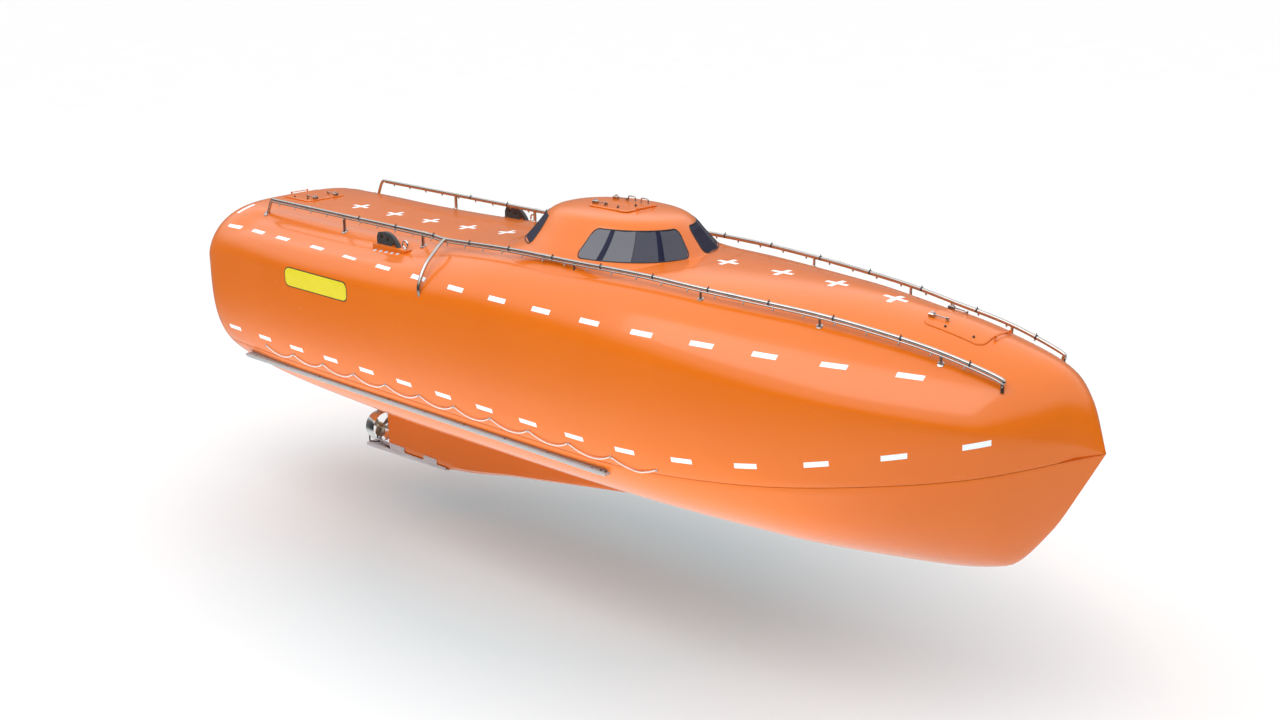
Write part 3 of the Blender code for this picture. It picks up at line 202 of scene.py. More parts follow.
# %% Gelcoat
def gelcoat_pattern(tree):
    place = space(tree)
    batch = noise(place, 0.7, 2.0)
    speck = noise(place, 90, 2.0)
    scuff = noise(space(tree, (1, 1, 6)), 2.5, 6.0, 0.7).ramp((0.50, 0), (0.72, 1))
    tone = batch * 0.7 + speck * 0.3
    return {
        "Base Color": tone.mix(rgb(0.755, 0.153, 0.005), rgb(0.835, 0.188, 0.008)),
        "Roughness": 0.20 + scuff * 0.06 + speck * 0.04,
        "Height": (noise(place, 120, 2.0) + noise(place, 3.0, 1.0) * 6, 0.06, 0.001),
    }


gelcoat = finish("orange_gelcoat", gelcoat_pattern, coat_weight=0.25, coat_roughness=0.05)
print("gelcoat ready")

# %% [markdown]
# ## Glass, metals and paint
# Tinted glass is nearly black with a blue cast and shows the sky in its
# surface. Drawn steel pipe has fine lines along it, polished castings have
# faint smears, bronze goes brown in patches, and painted plates carry small
# chips. What tells the metals apart is mostly how the roughness changes.

# %% Patterns of glass, metal and paint
def glass_pattern(tree):
    place = space(tree)
    smear = noise(place, 7, 3.0)
    return {
        "Base Color": smear.mix(rgb(0.012, 0.015, 0.038), rgb(0.024, 0.028, 0.058)),
        "Roughness": 0.03 + smear * 0.07,
    }


# Painted shade: a darker glass that reflects little, for panes and bands that are to read dark.
def painted_dark_glass_pattern(tree):
    smear = noise(space(tree), 9, 3.0)
    return {
        "Base Color": smear.mix(rgb(0.006, 0.007, 0.030), rgb(0.012, 0.013, 0.045)),
        "Roughness": 0.22 + smear * 0.1,
    }


def brushed_pattern(dark, light, low, high, scale=60):
    def pattern(tree):
        grain = noise(space(tree, (0.12, 1, 1)), scale, 4.0, 0.6)
        smear = noise(space(tree), 6, 2.0)
        return {
            "Base Color": (grain * 0.6 + smear * 0.4).mix(dark, light),
            "Roughness": low + grain * (high - low) + smear * 0.05,
            "Height": (grain, 0.12, 0.0005),
        }
    return pattern


def painted_pattern(dark, light, chip, rough):
    def pattern(tree):
        place = space(tree)
        tone = noise(place, 9, 4.0)
        chips = noise(place, 30, 5.0, 0.7).ramp((0.66, 0), (0.70, 1))
        return {
            "Base Color": chips.mix(tone.mix(dark, light), chip),
            "Roughness": rough + tone * 0.15 - chips * 0.15,
            "Metallic": chips * 0.6,
            "Height": (noise(place, 140, 2.0), 0.15, 0.0006),
        }
    return pattern


def bronze_pattern(tree):
    place = space(tree)
    age = noise(place, 14, 4.0, 0.6)
    return {
        "Base Color": age.mix(rgb(0.46, 0.38, 0.27), rgb(0.82, 0.74, 0.60)),
        "Roughness": 0.42 - age * 0.22,
        "Height": (noise(place, 90, 3.0), 0.10, 0.0005),
    }


print("patterns of glass, metal and paint ready")

# %% [markdown]
# ## Tape, rope and rubber
# Reflective tape is a film over a comb of small cells, which gives it a faint
# texture. A twisted rope shows its lay as slanting bands with loose fibres
# between them. Old rubber has a grey bloom in patches.

# %% Patterns of tape, rope and rubber
def tape_pattern(tree):
    place = space(tree)
    comb = cells(place, 95, "DISTANCE_TO_EDGE").ramp((0.0, 0.0), (0.12, 1.0))
    dust = noise(place, 5, 3.0)
    return {
        "Base Color": (comb * 0.7 + dust * 0.3).mix(rgb(0.78, 0.82, 0.83), rgb(0.93, 0.98, 1.0)),
        "Roughness": 0.42 - comb * 0.12,
        "Height": (comb, 0.15, 0.0004),
    }


def rope_pattern(tree):
    lay = bands(space(tree, (1, 0.4, 0.6)), 28, "DIAGONAL", 0.4)
    fibre = noise(space(tree), 260, 3.0)
    return {
        "Base Color": (lay * 0.6 + fibre * 0.4).mix(rgb(0.82, 0.74, 0.68), rgb(1.0, 0.97, 0.93)),
        "Roughness": 0.75 + fibre * 0.2,
        "Height": (lay + fibre * 0.3, 0.8, 0.003),
    }


def rubber_pattern(tree):
    place = space(tree)
    bloom = noise(place, 12, 4.0)
    return {
        "Base Color": bloom.mix(rgb(0.012, 0.012, 0.014), rgb(0.045, 0.045, 0.048)),
        "Roughness": 0.5 + bloom * 0.25,
        "Height": (noise(place, 200, 2.0), 0.2, 0.0004),
    }


print("patterns of tape, rope and rubber ready")

# %% [markdown]
# ## Lining, seat cover and film
# The inside of the boat is bare glass fibre in grey paint, so its grain stands
# up a little. The seat cover is a woven cloth, made by two crossed sets of
# bands, and the yellow film is smooth and only fades unevenly.

# %% Patterns of lining, cloth and film
def lining_pattern(tree):
    """Grey glass fibre with a sanded, slightly raised grain."""
    place = space(tree)
    tone = noise(place, 2.0, 4.0)
    grit = cells(place, 160)
    return {
        "Base Color": tone.mix(rgb(0.40, 0.41, 0.41), rgb(0.52, 0.53, 0.53)),
        "Roughness": 0.5 + grit * 0.2,
        "Height": (grit + noise(place, 30, 3.0), 0.25, 0.001),
    }


def seat_pattern(tree):
    place = space(tree)
    weave = bands(place, 90, "X") * bands(place, 90, "Z")
    fade = noise(place, 5, 3.0)
    return {
        "Base Color": (weave * 0.5 + fade * 0.5).mix(rgb(0.030, 0.042, 0.085), rgb(0.075, 0.10, 0.18)),
        "Roughness": 0.7 + weave * 0.2,
        "Height": (weave, 0.5, 0.0008),
    }


def yellow_pattern(tree):
    place = space(tree)
    fade = noise(place, 6, 3.0)
    return {
        "Base Color": fade.mix(rgb(0.80, 0.68, 0.02), rgb(0.90, 0.80, 0.04)),
        "Roughness": 0.25 + fade * 0.12,
        "Height": (noise(place, 110, 2.0), 0.05, 0.0005),
    }


print("patterns of lining, cloth and film ready")

# %% [markdown]
# ## All the finishes
# Each finish is now a pattern and a few even values. The metals differ in their colours and in how low and
# how high their roughness goes. The tape carries a faint painted glow, which stands in for the light it
# throws back better than plain white does. The glass has a darker copy with little reflection, which paints
# shade on panes that are to read dark.

# %% Mix the finishes
glass = finish("tinted_glass", glass_pattern, specular_ior_level=0.7, coat_weight=0.1)
# A shaded copy of the glass: painted dark, with little reflection.
painted_dark_glass = finish("glass_painted_dark", painted_dark_glass_pattern, specular_ior_level=0.12)
pipe_steel = finish("pipe_steel", brushed_pattern(
    rgb(0.40, 0.37, 0.35), rgb(0.68, 0.65, 0.63), 0.14, 0.28), metallic=1.0)
polished = finish("polished_steel", brushed_pattern(
    rgb(0.62, 0.62, 0.63), rgb(0.86, 0.86, 0.87), 0.08, 0.18, 25), metallic=1.0)
shoe_steel = finish("shoe_steel", brushed_pattern(
    rgb(0.62, 0.62, 0.66), rgb(0.80, 0.80, 0.84), 0.35, 0.50, 30), metallic=0.25)
rail_grey = finish("runner_steel", brushed_pattern(
    rgb(0.42, 0.43, 0.44), rgb(0.56, 0.57, 0.58), 0.45, 0.60), metallic=0.2)
dark_paint = finish("dark_paint", painted_pattern(
    rgb(0.030, 0.033, 0.036), rgb(0.060, 0.064, 0.068), rgb(0.30, 0.29, 0.28), 0.38))
bronze = finish("propeller_bronze", bronze_pattern, metallic=1.0)
# Painted glow: the tape's faint emission stands in for light that it throws back.
tape_white = finish("reflective_tape", tape_pattern, emission_strength=0.15,
                    emission_color=rgb(0.45, 0.85, 1.0))
rope_white = finish("white_rope", rope_pattern)
rubber = finish("black_rubber", rubber_pattern)
lining = finish("grey_lining", lining_pattern)
seat_cloth = finish("seat_cover", seat_pattern, sheen_weight=0.3)
yellow = finish("yellow_film", yellow_pattern)
print("finishes:", len([m for m in bpy.data.materials if m.use_nodes]))

# %% [markdown]
# ## The boat's form in numbers
# A hull is drawn from a few cross-sections, called stations. Each row gives a
# station's place and the heights of its keel, its widest line and its deck,
# with the half beam and four numbers that say how square its arcs are. A
# smooth curve with no overshoot can be run through each column, so any
# section between the stations can be asked for.

# %% Stations and the curves through them
STATIONS = (
    # x,    keel,  wide, deck, half, low_p, low_q, top_p, top_q
    (-7.00, -0.12, 1.36, 1.88, 1.12, 3.4, 2.8, 2.0, 3.6),
    (-6.93, -0.21, 1.40, 2.06, 1.42, 3.5, 2.8, 1.8, 3.8),
    (-6.60, -0.36, 1.47, 2.16, 1.69, 3.6, 2.7, 1.6, 3.6),
    (-6.00, -0.50, 1.54, 2.16, 1.72, 3.5, 2.6, 1.6, 3.6),
    (-4.50, -0.67, 1.56, 2.15, 1.78, 3.2, 2.2, 1.5, 3.7),
    (-2.50, -0.74, 1.59, 2.19, 1.79, 3.0, 2.15, 1.6, 3.8),
    (-0.50, -0.72, 1.60, 2.36, 1.81, 2.9, 2.15, 1.9, 3.5),
    (1.50, -0.70, 1.58, 2.43, 1.79, 3.0, 2.0, 1.85, 2.85),
    (3.50, -0.66, 1.53, 2.45, 1.62, 3.0, 1.7, 1.5, 2.1),
    (5.00, -0.55, 1.50, 2.36, 1.30, 2.5, 1.45, 1.35, 1.75),
    (6.00, -0.33, 1.46, 2.18, 0.97, 1.9, 1.3, 1.4, 1.8),
    (6.50, 0.23, 1.40, 2.03, 0.56, 1.6, 1.2, 1.7, 1.9),
    (6.80, 0.78, 1.32, 1.77, 0.21, 1.3, 1.1, 2.0, 2.0),
    (7.03, 1.23, 1.23, 1.23, 0.00, 1.3, 1.1, 2.0, 2.0),
)
STERN, BOW = STATIONS[0][0], STATIONS[-1][0]
WALL = 0.06                             # thickness of the hull
SEAM_AFT, SEAM_RISE, SEAM_START, SEAM_POWER = 0.13, 1.10, 1.0, 1.7
WALK_AFT, WALK_FORE, WALK_INNER, WALK_OUTER, WALK_DEPTH = -6.5, -1.6, 0.98, 1.62, 0.06
FADE_AFT, FADE_FORE, FADE_INNER, FADE_OUTER = 0.5, 1.3, 0.16, 0.25    # how gently it runs out


def smooth_curve(xs, ys):
    """Monotone cubic through the points, as a function."""
    last = len(xs) - 1
    step = [xs[i + 1] - xs[i] for i in range(last)]
    slope = [(ys[i + 1] - ys[i]) / step[i] for i in range(last)]
    lean = [slope[0]] + [0.0] * (last - 1) + [slope[-1]]
    for i in range(1, last):
        if slope[i - 1] * slope[i] > 0:
            w1, w2 = 2 * step[i] + step[i - 1], step[i] + 2 * step[i - 1]
            lean[i] = (w1 + w2) / (w1 / slope[i - 1] + w2 / slope[i])

    def value(x):
        i = 0
        while i < last - 1 and x > xs[i + 1]:
            i += 1
        t = (x - xs[i]) / step[i]
        return (ys[i] * (2 * t ** 3 - 3 * t ** 2 + 1) + step[i] * lean[i] * (t ** 3 - 2 * t ** 2 + t)
                + ys[i + 1] * (3 * t ** 2 - 2 * t ** 3) + step[i] * lean[i + 1] * (t ** 3 - t ** 2))
    return value


print("stations:", len(STATIONS), "from", STERN, "to", BOW)

# %% [markdown]
# ## Points on a section
# A section is two arcs, one below the widest line and one above it. Both are
# stretched circles whose powers make them fuller or slacker. The deck's arc
# also has the walkway let into it, and the seam's height follows its own
# curve along the boat.

# %% Sections, seam and deck
FORM = [smooth_curve([r[0] for r in STATIONS], [r[k] for r in STATIONS]) for k in range(1, 9)]


def station(x, inset=0.0):
    keel, wide, deck, half, low_p, low_q, top_p, top_q = [c(min(max(x, STERN), BOW)) for c in FORM]
    return keel + inset, wide, deck - inset, half - inset, low_p, low_q, top_p, top_q


def seam_height(x):
    return SEAM_AFT + SEAM_RISE * (max(x - SEAM_START, 0.0) / (BOW - SEAM_START)) ** SEAM_POWER


def ease(t):
    t = min(max(t, 0.0), 1.0)
    return t * t * (3 - 2 * t)


def walkway(x, y):
    """Depth of the walkway that is let into each side of the after deck."""
    along = ease((x - WALK_AFT) / FADE_AFT) * ease((WALK_FORE - x) / FADE_FORE)
    across = ease((abs(y) - WALK_INNER) / FADE_INNER) * ease((WALK_OUTER - abs(y)) / FADE_OUTER)
    return WALK_DEPTH * along * across


def low_point(form, a):
    """Point on the lower arc: a is 0 at the keel and a quarter turn at the widest line."""
    keel, wide, _, half, low_p, low_q = form[:6]
    return half * math.sin(a) ** (2 / low_q), wide - (wide - keel) * max(math.cos(a), 0.0) ** (2 / low_p)


def top_point(x, form, a):
    _, wide, deck, half, _, _, top_p, top_q = form
    y = half * max(math.cos(a), 0.0) ** (2 / top_q)
    return y, wide + (deck - wide) * math.sin(a) ** (2 / top_p) - walkway(x, y)


def low_angle(form, z):
    """Where the lower arc reaches height z."""
    if form[1] - form[0] < 1e-6:
        return math.pi / 2
    return math.acos(min(max((form[1] - z) / (form[1] - form[0]), 0.0), 1.0) ** (form[4] / 2))


def deck_height(x, y):
    _, wide, deck, half, _, _, top_p, top_q = station(x)
    cos_a = min(abs(y) / half, 1.0) ** (top_q / 2)
    return wide + (deck - wide) * math.sqrt(1 - cos_a ** 2) ** (2 / top_p) - walkway(x, y)


print("half beam amidships:", round(station(0.0)[3], 3))

# %% [markdown]
# ## Turning rows of points into a surface
# Nearly every shell here is a loft: rows of points, joined to their
# neighbours by quads. One helper skins the rows, and another cleans the mesh,
# turns its faces outwards, shades it smooth with sharp edges kept sharp, and
# puts it on its body.

# %% Skin, clean and place a piece
COLL = bpy.data.collections.new("dressing")
scene.collection.children.link(COLL)
SHARP = math.radians(32)


def skin(bm, rows, closed=False):
    for a, b in zip(rows[:-1], rows[1:]):
        for k in range(len(a) if closed else len(a) - 1):
            n = (k + 1) % len(a)
            corners = []
            for v in (a[k], a[n], b[n], b[k]):
                if v not in corners:
                    corners.append(v)
            if len(corners) > 2:
                bm.faces.new(corners)


def verts(bm, points):
    return [bm.verts.new(p) for p in points]


def piece(name, bm, mat, body="hull", stands_for=(), weld=0.00005, sharp=SHARP):
    if weld:
        bmesh.ops.remove_doubles(bm, verts=bm.verts, dist=weld)
        bmesh.ops.dissolve_degenerate(bm, edges=bm.edges, dist=weld)
    bmesh.ops.recalc_face_normals(bm, faces=bm.faces)
    for face in bm.faces:
        face.smooth = True
    loose = sum(not e.is_manifold for e in bm.edges)
    if loose:
        print(name, "has", loose, "open edges")
    mesh = bpy.data.meshes.new(name)
    bm.to_mesh(mesh)
    bm.free()
    mesh.set_sharp_from_angle(angle=sharp)
    mesh.materials.append(mat)
    ob = bpy.data.objects.new(name, mesh)
    COLL.objects.link(ob)
    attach(ob, body)
    if stands_for:
        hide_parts(*stands_for)
    return ob


def cut(ob, tools):
    """Cut the tools out of a piece, one exact Boolean each."""
    for tool in tools:
        mod = ob.modifiers.new("cut", "BOOLEAN")
        mod.operation, mod.solver, mod.object = "DIFFERENCE", "EXACT", tool
        mesh = bpy.data.meshes.new_from_object(ob.evaluated_get(bpy.context.evaluated_depsgraph_get()))
        ob.modifiers.clear()
        ob.data = mesh
        bpy.data.objects.remove(tool)
    for face in ob.data.polygons:
        face.use_smooth = True
    ob.data.set_sharp_from_angle(angle=SHARP)


def tool(name, bm):
    """A cutter: a bare mesh that is gone before the end."""
    bmesh.ops.remove_doubles(bm, verts=bm.verts, dist=0.0001)
    bmesh.ops.dissolve_degenerate(bm, edges=bm.edges, dist=0.0001)
    loose = sum(not e.is_manifold for e in bm.edges)
    if loose:
        print(name, "has", loose, "open edges")
    bmesh.ops.recalc_face_normals(bm, faces=bm.faces)
    mesh = bpy.data.meshes.new(name)
    bm.to_mesh(mesh)
    bm.free()
    ob = bpy.data.objects.new(name, mesh)
    COLL.objects.link(ob)
    return ob


# %% [markdown]
# ## Hull and canopy
# The real boat is two mouldings, a hull and a canopy, bonded along a seam
# that rises to the stem. Each becomes a closed shell with an outer and an
# inner skin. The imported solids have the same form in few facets; a glossy
# surface would show each facet, so these finer lofts stand for them. Along
# the seam the last few millimetres are drawn in, which leaves the fine shadow
# line of the real joint. The inner skins get the cabin's grey lining.

# %% Loft the two mouldings
SECTIONS = 150
LOW_ROWS, SIDE_ROWS, TOP_ROWS = 26, 9, 34
INNER_BOW = 6.30
SEAM_EDGE, SEAM_DRAWN = 0.008, 0.003


def half_section(x, inset, part):
    form = station(x, inset)
    seam = low_angle(form, seam_height(x) - (SEAM_EDGE if part == "hull" else -SEAM_EDGE) * 0.3)
    if part == "hull":
        rows = [low_point(form, seam * i / LOW_ROWS) for i in range(LOW_ROWS + 1)]
        edge = rows[-1]
        lip = low_point(form, low_angle(form, seam_height(x) - SEAM_EDGE))
        drawn = (max(edge[0] - (0 if inset else SEAM_DRAWN), 0.0), edge[1])
        rows = rows[:-1] + [lip, drawn]
        return rows
    edge = low_point(form, seam)
    lip = low_point(form, low_angle(form, seam_height(x) + SEAM_EDGE))
    rows = [(max(edge[0] - (0 if inset else SEAM_DRAWN), 0.0), edge[1]), lip]
    rows += [low_point(form, seam + (math.pi / 2 - seam) * i / SIDE_ROWS) for i in range(1, SIDE_ROWS + 1)]
    rows += [top_point(x, form, math.pi / 2 * i / TOP_ROWS) for i in range(1, TOP_ROWS + 1)]
    return rows


def section_places(first, last, count):
    """Sections closer together near both ends."""
    shares = [0.45 * i / count + 0.275 * (1 - math.cos(math.pi * i / count)) for i in range(count + 1)]
    return [first + (last - first) * s for s in shares]


def line_inside(bm, first):
    """Give the faces made since the first one the second material, the grey lining."""
    bm.faces.ensure_lookup_table()
    for face in bm.faces[first:]:
        face.material_index = 1


def moulding(name, part):
    bm = bmesh.new()
    layers = []
    for first, last, inset in ((STERN, BOW, 0.0), (STERN + WALL, INNER_BOW, WALL)):
        rows = []
        for x in section_places(first, last, SECTIONS):
            half = half_section(x, inset, part)
            if part == "hull":
                half = half[::-1]
            ring = [(x, -y, z) for y, z in half] + [(x, y, z) for y, z in half[-2::-1]]
            rows.append(verts(bm, ring))
        before = len(bm.faces)
        skin(bm, rows)
        bm.faces.new(rows[0])
        if inset:
            line_inside(bm, before)
        layers.append(rows)
    outer, inner = layers
    bm.faces.new(inner[-1])
    for end in (0, -1):
        skin(bm, [[row[end] for row in outer], [row[end] for row in inner]])
    bm.faces.new((outer[0][0], outer[0][-1], inner[0][-1], inner[0][0]))
    bm.faces.new((outer[-1][0], outer[-1][-1], inner[-1][-1], inner[-1][0]))
    nodes = sorted(n for n in frame["nodes"] if n.startswith(part))
    ob = piece(name, bm, gelcoat, stands_for=nodes)
    ob.data.materials.append(lining)
    print(name, len(ob.data.polygons), "faces")
    return ob


hull = moulding("hull_moulding", "hull")
canopy = moulding("canopy_moulding", "canopy")

# %% [markdown]
# ## Feeling for the surface
# Tape, rope and fittings lie on the hull, so they need to find it. Casting a
# ray at the finished mesh gives the point and the direction that the surface
# faces there, wherever the form bends.

# %% Rays at the hull
def ray_tree(*obs):
    bm = bmesh.new()
    for ob in obs:
        bm.from_mesh(ob.data)
    tree = BVHTree.FromBMesh(bm)
    bm.free()
    return tree


SKIN_TREE = ray_tree(hull, canopy)


def on_side(x, z, side=-1):
    """Point and outward normal on the starboard (-1) or port (1) side."""
    place, normal = SKIN_TREE.ray_cast(Vector((x, side * 4.0, z)), Vector((0, -side, 0)))[:2]
    return place, normal


def on_deck(x, y):
    place, normal = SKIN_TREE.ray_cast(Vector((x, y, 5.0)), Vector((0, 0, -1)))[:2]
    return place, normal


print("side at the waterline amidships:", [round(c, 3) for c in on_side(0, 0)[0]])

# %% [markdown]
# ## Openings in the canopy
# Two deck hatches, the cupola's trunk and the stern door open into the cabin.
# Each opening is cut with a Boolean, which is how a moulder would cut them
# too, and the edge is left sharp because the lids hide it.

# %% Cut the openings
def block(name, low, high, rounded=0.0, segments=4):
    """Box cutter with its upright edges rounded."""
    bm = bmesh.new()
    bmesh.ops.create_cube(bm, size=1.0)
    bmesh.ops.scale(bm, vec=[h - l for l, h in zip(low, high)], verts=bm.verts)
    bmesh.ops.translate(bm, vec=[(h + l) / 2 for l, h in zip(low, high)], verts=bm.verts)
    if rounded:
        upright = [e for e in bm.edges if abs((e.verts[0].co - e.verts[1].co).normalized().z) > 0.9]
        bmesh.ops.bevel(bm, geom=upright, offset=rounded, segments=segments, affect="EDGES", profile=0.5)
    return tool(name, bm)


HATCHES = (
    # name, x from, x to, half width, hinged end (+1 fore, -1 aft)
    ("fore_hatch", 4.95, 5.72, 0.34, 1),
    ("aft_hatch", -6.62, -5.94, 0.36, -1),
)
LAP = 0.04
DOOR_SILL, DOOR_HEAD, DOOR_HALF = 0.55, 1.62, 0.34
CUPOLA_X, TRUNK_X = 0.22, 0.18

holes = [block("hole", (x0 + LAP, LAP - half, 1.7), (x1 - LAP, half - LAP, 2.7), 0.05)
         for _, x0, x1, half, _ in HATCHES]
holes.append(block("hole", (TRUNK_X - 0.92, -0.66, 2.0), (TRUNK_X + 0.92, 0.66, 2.7), 0.10))
holes.append(block("hole", (STERN - 0.2, -DOOR_HALF, DOOR_SILL), (STERN + 0.2, DOOR_HALF, DOOR_HEAD)))
cut(canopy, holes)
print("canopy after cutting:", len(canopy.data.polygons), "faces")

# %% [markdown]
# ## The cupola
# The helmsman looks out through a low cone on the canopy. On the real boat
# its foot flows into the deck with no edge, so the outermost ring lies on the
# deck and a cubic lifts the skin from the deck's slope to the steep wall. The
# roof rings are squashed circles, a little squarer than an ellipse.

# %% Cupola shell
CUPOLA_POWER, CUPOLA_WALL = 2.2, 0.045
CONE = (
    # height, half length, half width
    (2.42, 1.31, 1.08), (2.60, 1.17, 0.90), (2.76, 1.04, 0.76),
    (2.84, 0.91, 0.66), (2.88, 0.68, 0.49), (2.895, 0.42, 0.31),
)
SKIRT_LENGTH, SKIRT_WIDTH = 1.66, 1.30
CONE_LENGTH = smooth_curve([r[0] for r in CONE], [r[1] for r in CONE])
CONE_WIDTH = smooth_curve([r[0] for r in CONE], [r[2] for r in CONE])
SPOKES = 160


def oval(angle, length, width):
    c, s = math.cos(angle), math.sin(angle)
    return (CUPOLA_X + length * math.copysign(abs(c) ** (2 / CUPOLA_POWER), c),
            width * math.copysign(abs(s) ** (2 / CUPOLA_POWER), s))


def cone_point(angle, z, out=0.0):
    x, y = oval(angle, CONE_LENGTH(z) + out, CONE_WIDTH(z) + out)
    return Vector((x, y, z))


def skirt_ring(share, lift=0.001):
    """Ring of the flared foot: share 0 lies on the deck, 1 meets the cone."""
    ring = []
    for k in range(SPOKES):
        a = 2 * math.pi * k / SPOKES
        length = SKIRT_LENGTH + (CONE[0][1] - SKIRT_LENGTH) * share
        width = SKIRT_WIDTH + (CONE[0][2] - SKIRT_WIDTH) * share
        x, y = oval(a, length, width)
        x0, y0 = oval(a, SKIRT_LENGTH, SKIRT_WIDTH)
        low, high = deck_height(x0, y0) + lift, CONE[0][0]
        near = oval(a, SKIRT_LENGTH - 0.02, SKIRT_WIDTH - 0.02)
        slope = (deck_height(*near) + lift - low) / 0.02 * (SKIRT_LENGTH - CONE[0][1])
        wall = (CONE[1][0] - CONE[0][0]) / (CONE[0][1] - CONE[1][1]) * (SKIRT_LENGTH - CONE[0][1]) * 0.42
        t = share
        z = (low * (2 * t ** 3 - 3 * t ** 2 + 1) + slope * (t ** 3 - 2 * t ** 2 + t)
             + high * (3 * t ** 2 - 2 * t ** 3) + wall * (t ** 3 - t ** 2))
        ring.append((x, y, max(z, deck_height(x, y) + lift)))
    return ring


def cone_ring(z, out=0.0, drop=0.0):
    ring = [cone_point(2 * math.pi * k / SPOKES, z, out) for k in range(SPOKES)]
    if z - drop > 2.5:
        return [(x, y, h - drop) for x, y, h in ring]
    return [(x, y, max(h - drop, deck_height(x, y) + 0.001 + (z - CONE[0][0]) * 0.2)) for x, y, h in ring]


print("cone from", CONE[0][0], "to", CONE[-1][0], "m")

# %% [markdown]
# ## Rings into a cupola
# The rings are lofted from the deck up over the roof, then the inner skin, and
# an underside that lies on the deck closes the foot. The rings stand closer
# where the roof rounds over, because that bend catches the light.

# %% Loft the cupola
bm = bmesh.new()
heights = [CONE[0][0] + (2.76 - CONE[0][0]) * i / 10 for i in range(1, 11)]
heights += [2.78, 2.80, 2.82, 2.84, 2.852, 2.863, 2.872, 2.880, 2.888, 2.895]
outer = [verts(bm, skirt_ring(i / 14)) for i in range(15)] + [verts(bm, cone_ring(z)) for z in heights]
inner = [verts(bm, cone_ring(z, -CUPOLA_WALL, CUPOLA_WALL * ease((z - 2.6) / 0.2)))
         for z in [CONE[0][0]] + heights]
under = []
for share in (1.0, 0.75, 0.5, 0.25):
    ring = []
    for k in range(SPOKES):
        a = 2 * math.pi * k / SPOKES
        length = SKIRT_LENGTH + (CONE[0][1] - CUPOLA_WALL - SKIRT_LENGTH) * share
        width = SKIRT_WIDTH + (CONE[0][2] - CUPOLA_WALL - SKIRT_WIDTH) * share
        x, y = oval(a, length, width)
        ring.append((x, y, deck_height(x, y) + 0.0005))
    under.append(verts(bm, ring))
skin(bm, outer, closed=True)
skin(bm, [inner[0]] + under + [outer[0]], closed=True)
bm.faces.new(outer[-1])
outside = len(bm.faces)
skin(bm, inner, closed=True)
bm.faces.new(inner[-1])
line_inside(bm, outside)
cupola = piece("cupola_shell", bm, gelcoat, stands_for=("cupola",))
cupola.data.materials.append(lining)
print("cupola:", len(cupola.data.polygons), "faces")

# %% [markdown]
# ## Windows with flat facets
# The two fore windows are one pane each, bent at three upright lines, so a pane shows four flat facets that
# catch different parts of the sky. The after windows are shorter and bend once. Over the outer bends of the
# fore panes, a band is painted in a darker glass with little reflection, as a painted dark reflection. The
# other three panes are painted in that darker glass all over, as painted shade. The outline has rounded
# corners, and it cuts the opening, makes the pane and carries the seal.

# %% Panes, joints and seals
SILL, HEAD = 2.435, 2.755
FRONT = math.radians(6)
PANE_CORNER = 0.242                     # against the pane's height
# Outer end at sill and at head in degrees, width in metres, places of the bends and of the painted dark
# bands.
FORE_PANE = (82, 77, 1.35, (0.0, 0.28, 0.54, 0.80, 1.0), (0.28, 0.80))
AFT_PANE = (60, 53, 0.85, (0.0, 0.5, 1.0), ())
DARK_BAND_HALF = 0.028
WINDOWS = (
    ("window_fore_starboard", 1, -1, FORE_PANE), ("window_fore_port", 1, 1, FORE_PANE),
    ("window_aft_starboard", -1, -1, AFT_PANE), ("window_aft_port", -1, 1, AFT_PANE),
)


def pane_point(u, v, out, window):
    """u runs round the cone, v up it; both from 0 to 1."""
    mirror_x, mirror_y, (sill, head, _, bends, _) = window
    last = math.radians(sill + (head - sill) * v)
    z = SILL + (HEAD - SILL) * v
    i = 0
    while i < len(bends) - 2 and u > bends[i + 1]:
        i += 1
    t = (u - bends[i]) / (bends[i + 1] - bends[i])
    ends = [cone_point(FRONT + (last - FRONT) * bends[j], z, out) for j in (i, i + 1)]
    p = ends[0].lerp(ends[1], t)
    return Vector((CUPOLA_X + (p.x - CUPOLA_X) * mirror_x, p.y * mirror_y, p.z))


def pane_outline(margin, window, steps=6):
    """Rounded outline in u and v, drawn in by margin."""
    wide = window[2][2] / (HEAD - SILL)    # pane width against its height
    high = PANE_CORNER
    long = high / wide
    points = []
    for cu, cv, first in ((1 - long, 1 - high, 0), (long, 1 - high, 90),
                          (long, high, 180), (1 - long, high, 270)):
        for i in range(steps + 1):
            a = math.radians(first + 90 * i / steps)
            points.append((cu + math.cos(a) * (long - margin / wide), cv + math.sin(a) * (high - margin)))
    return points


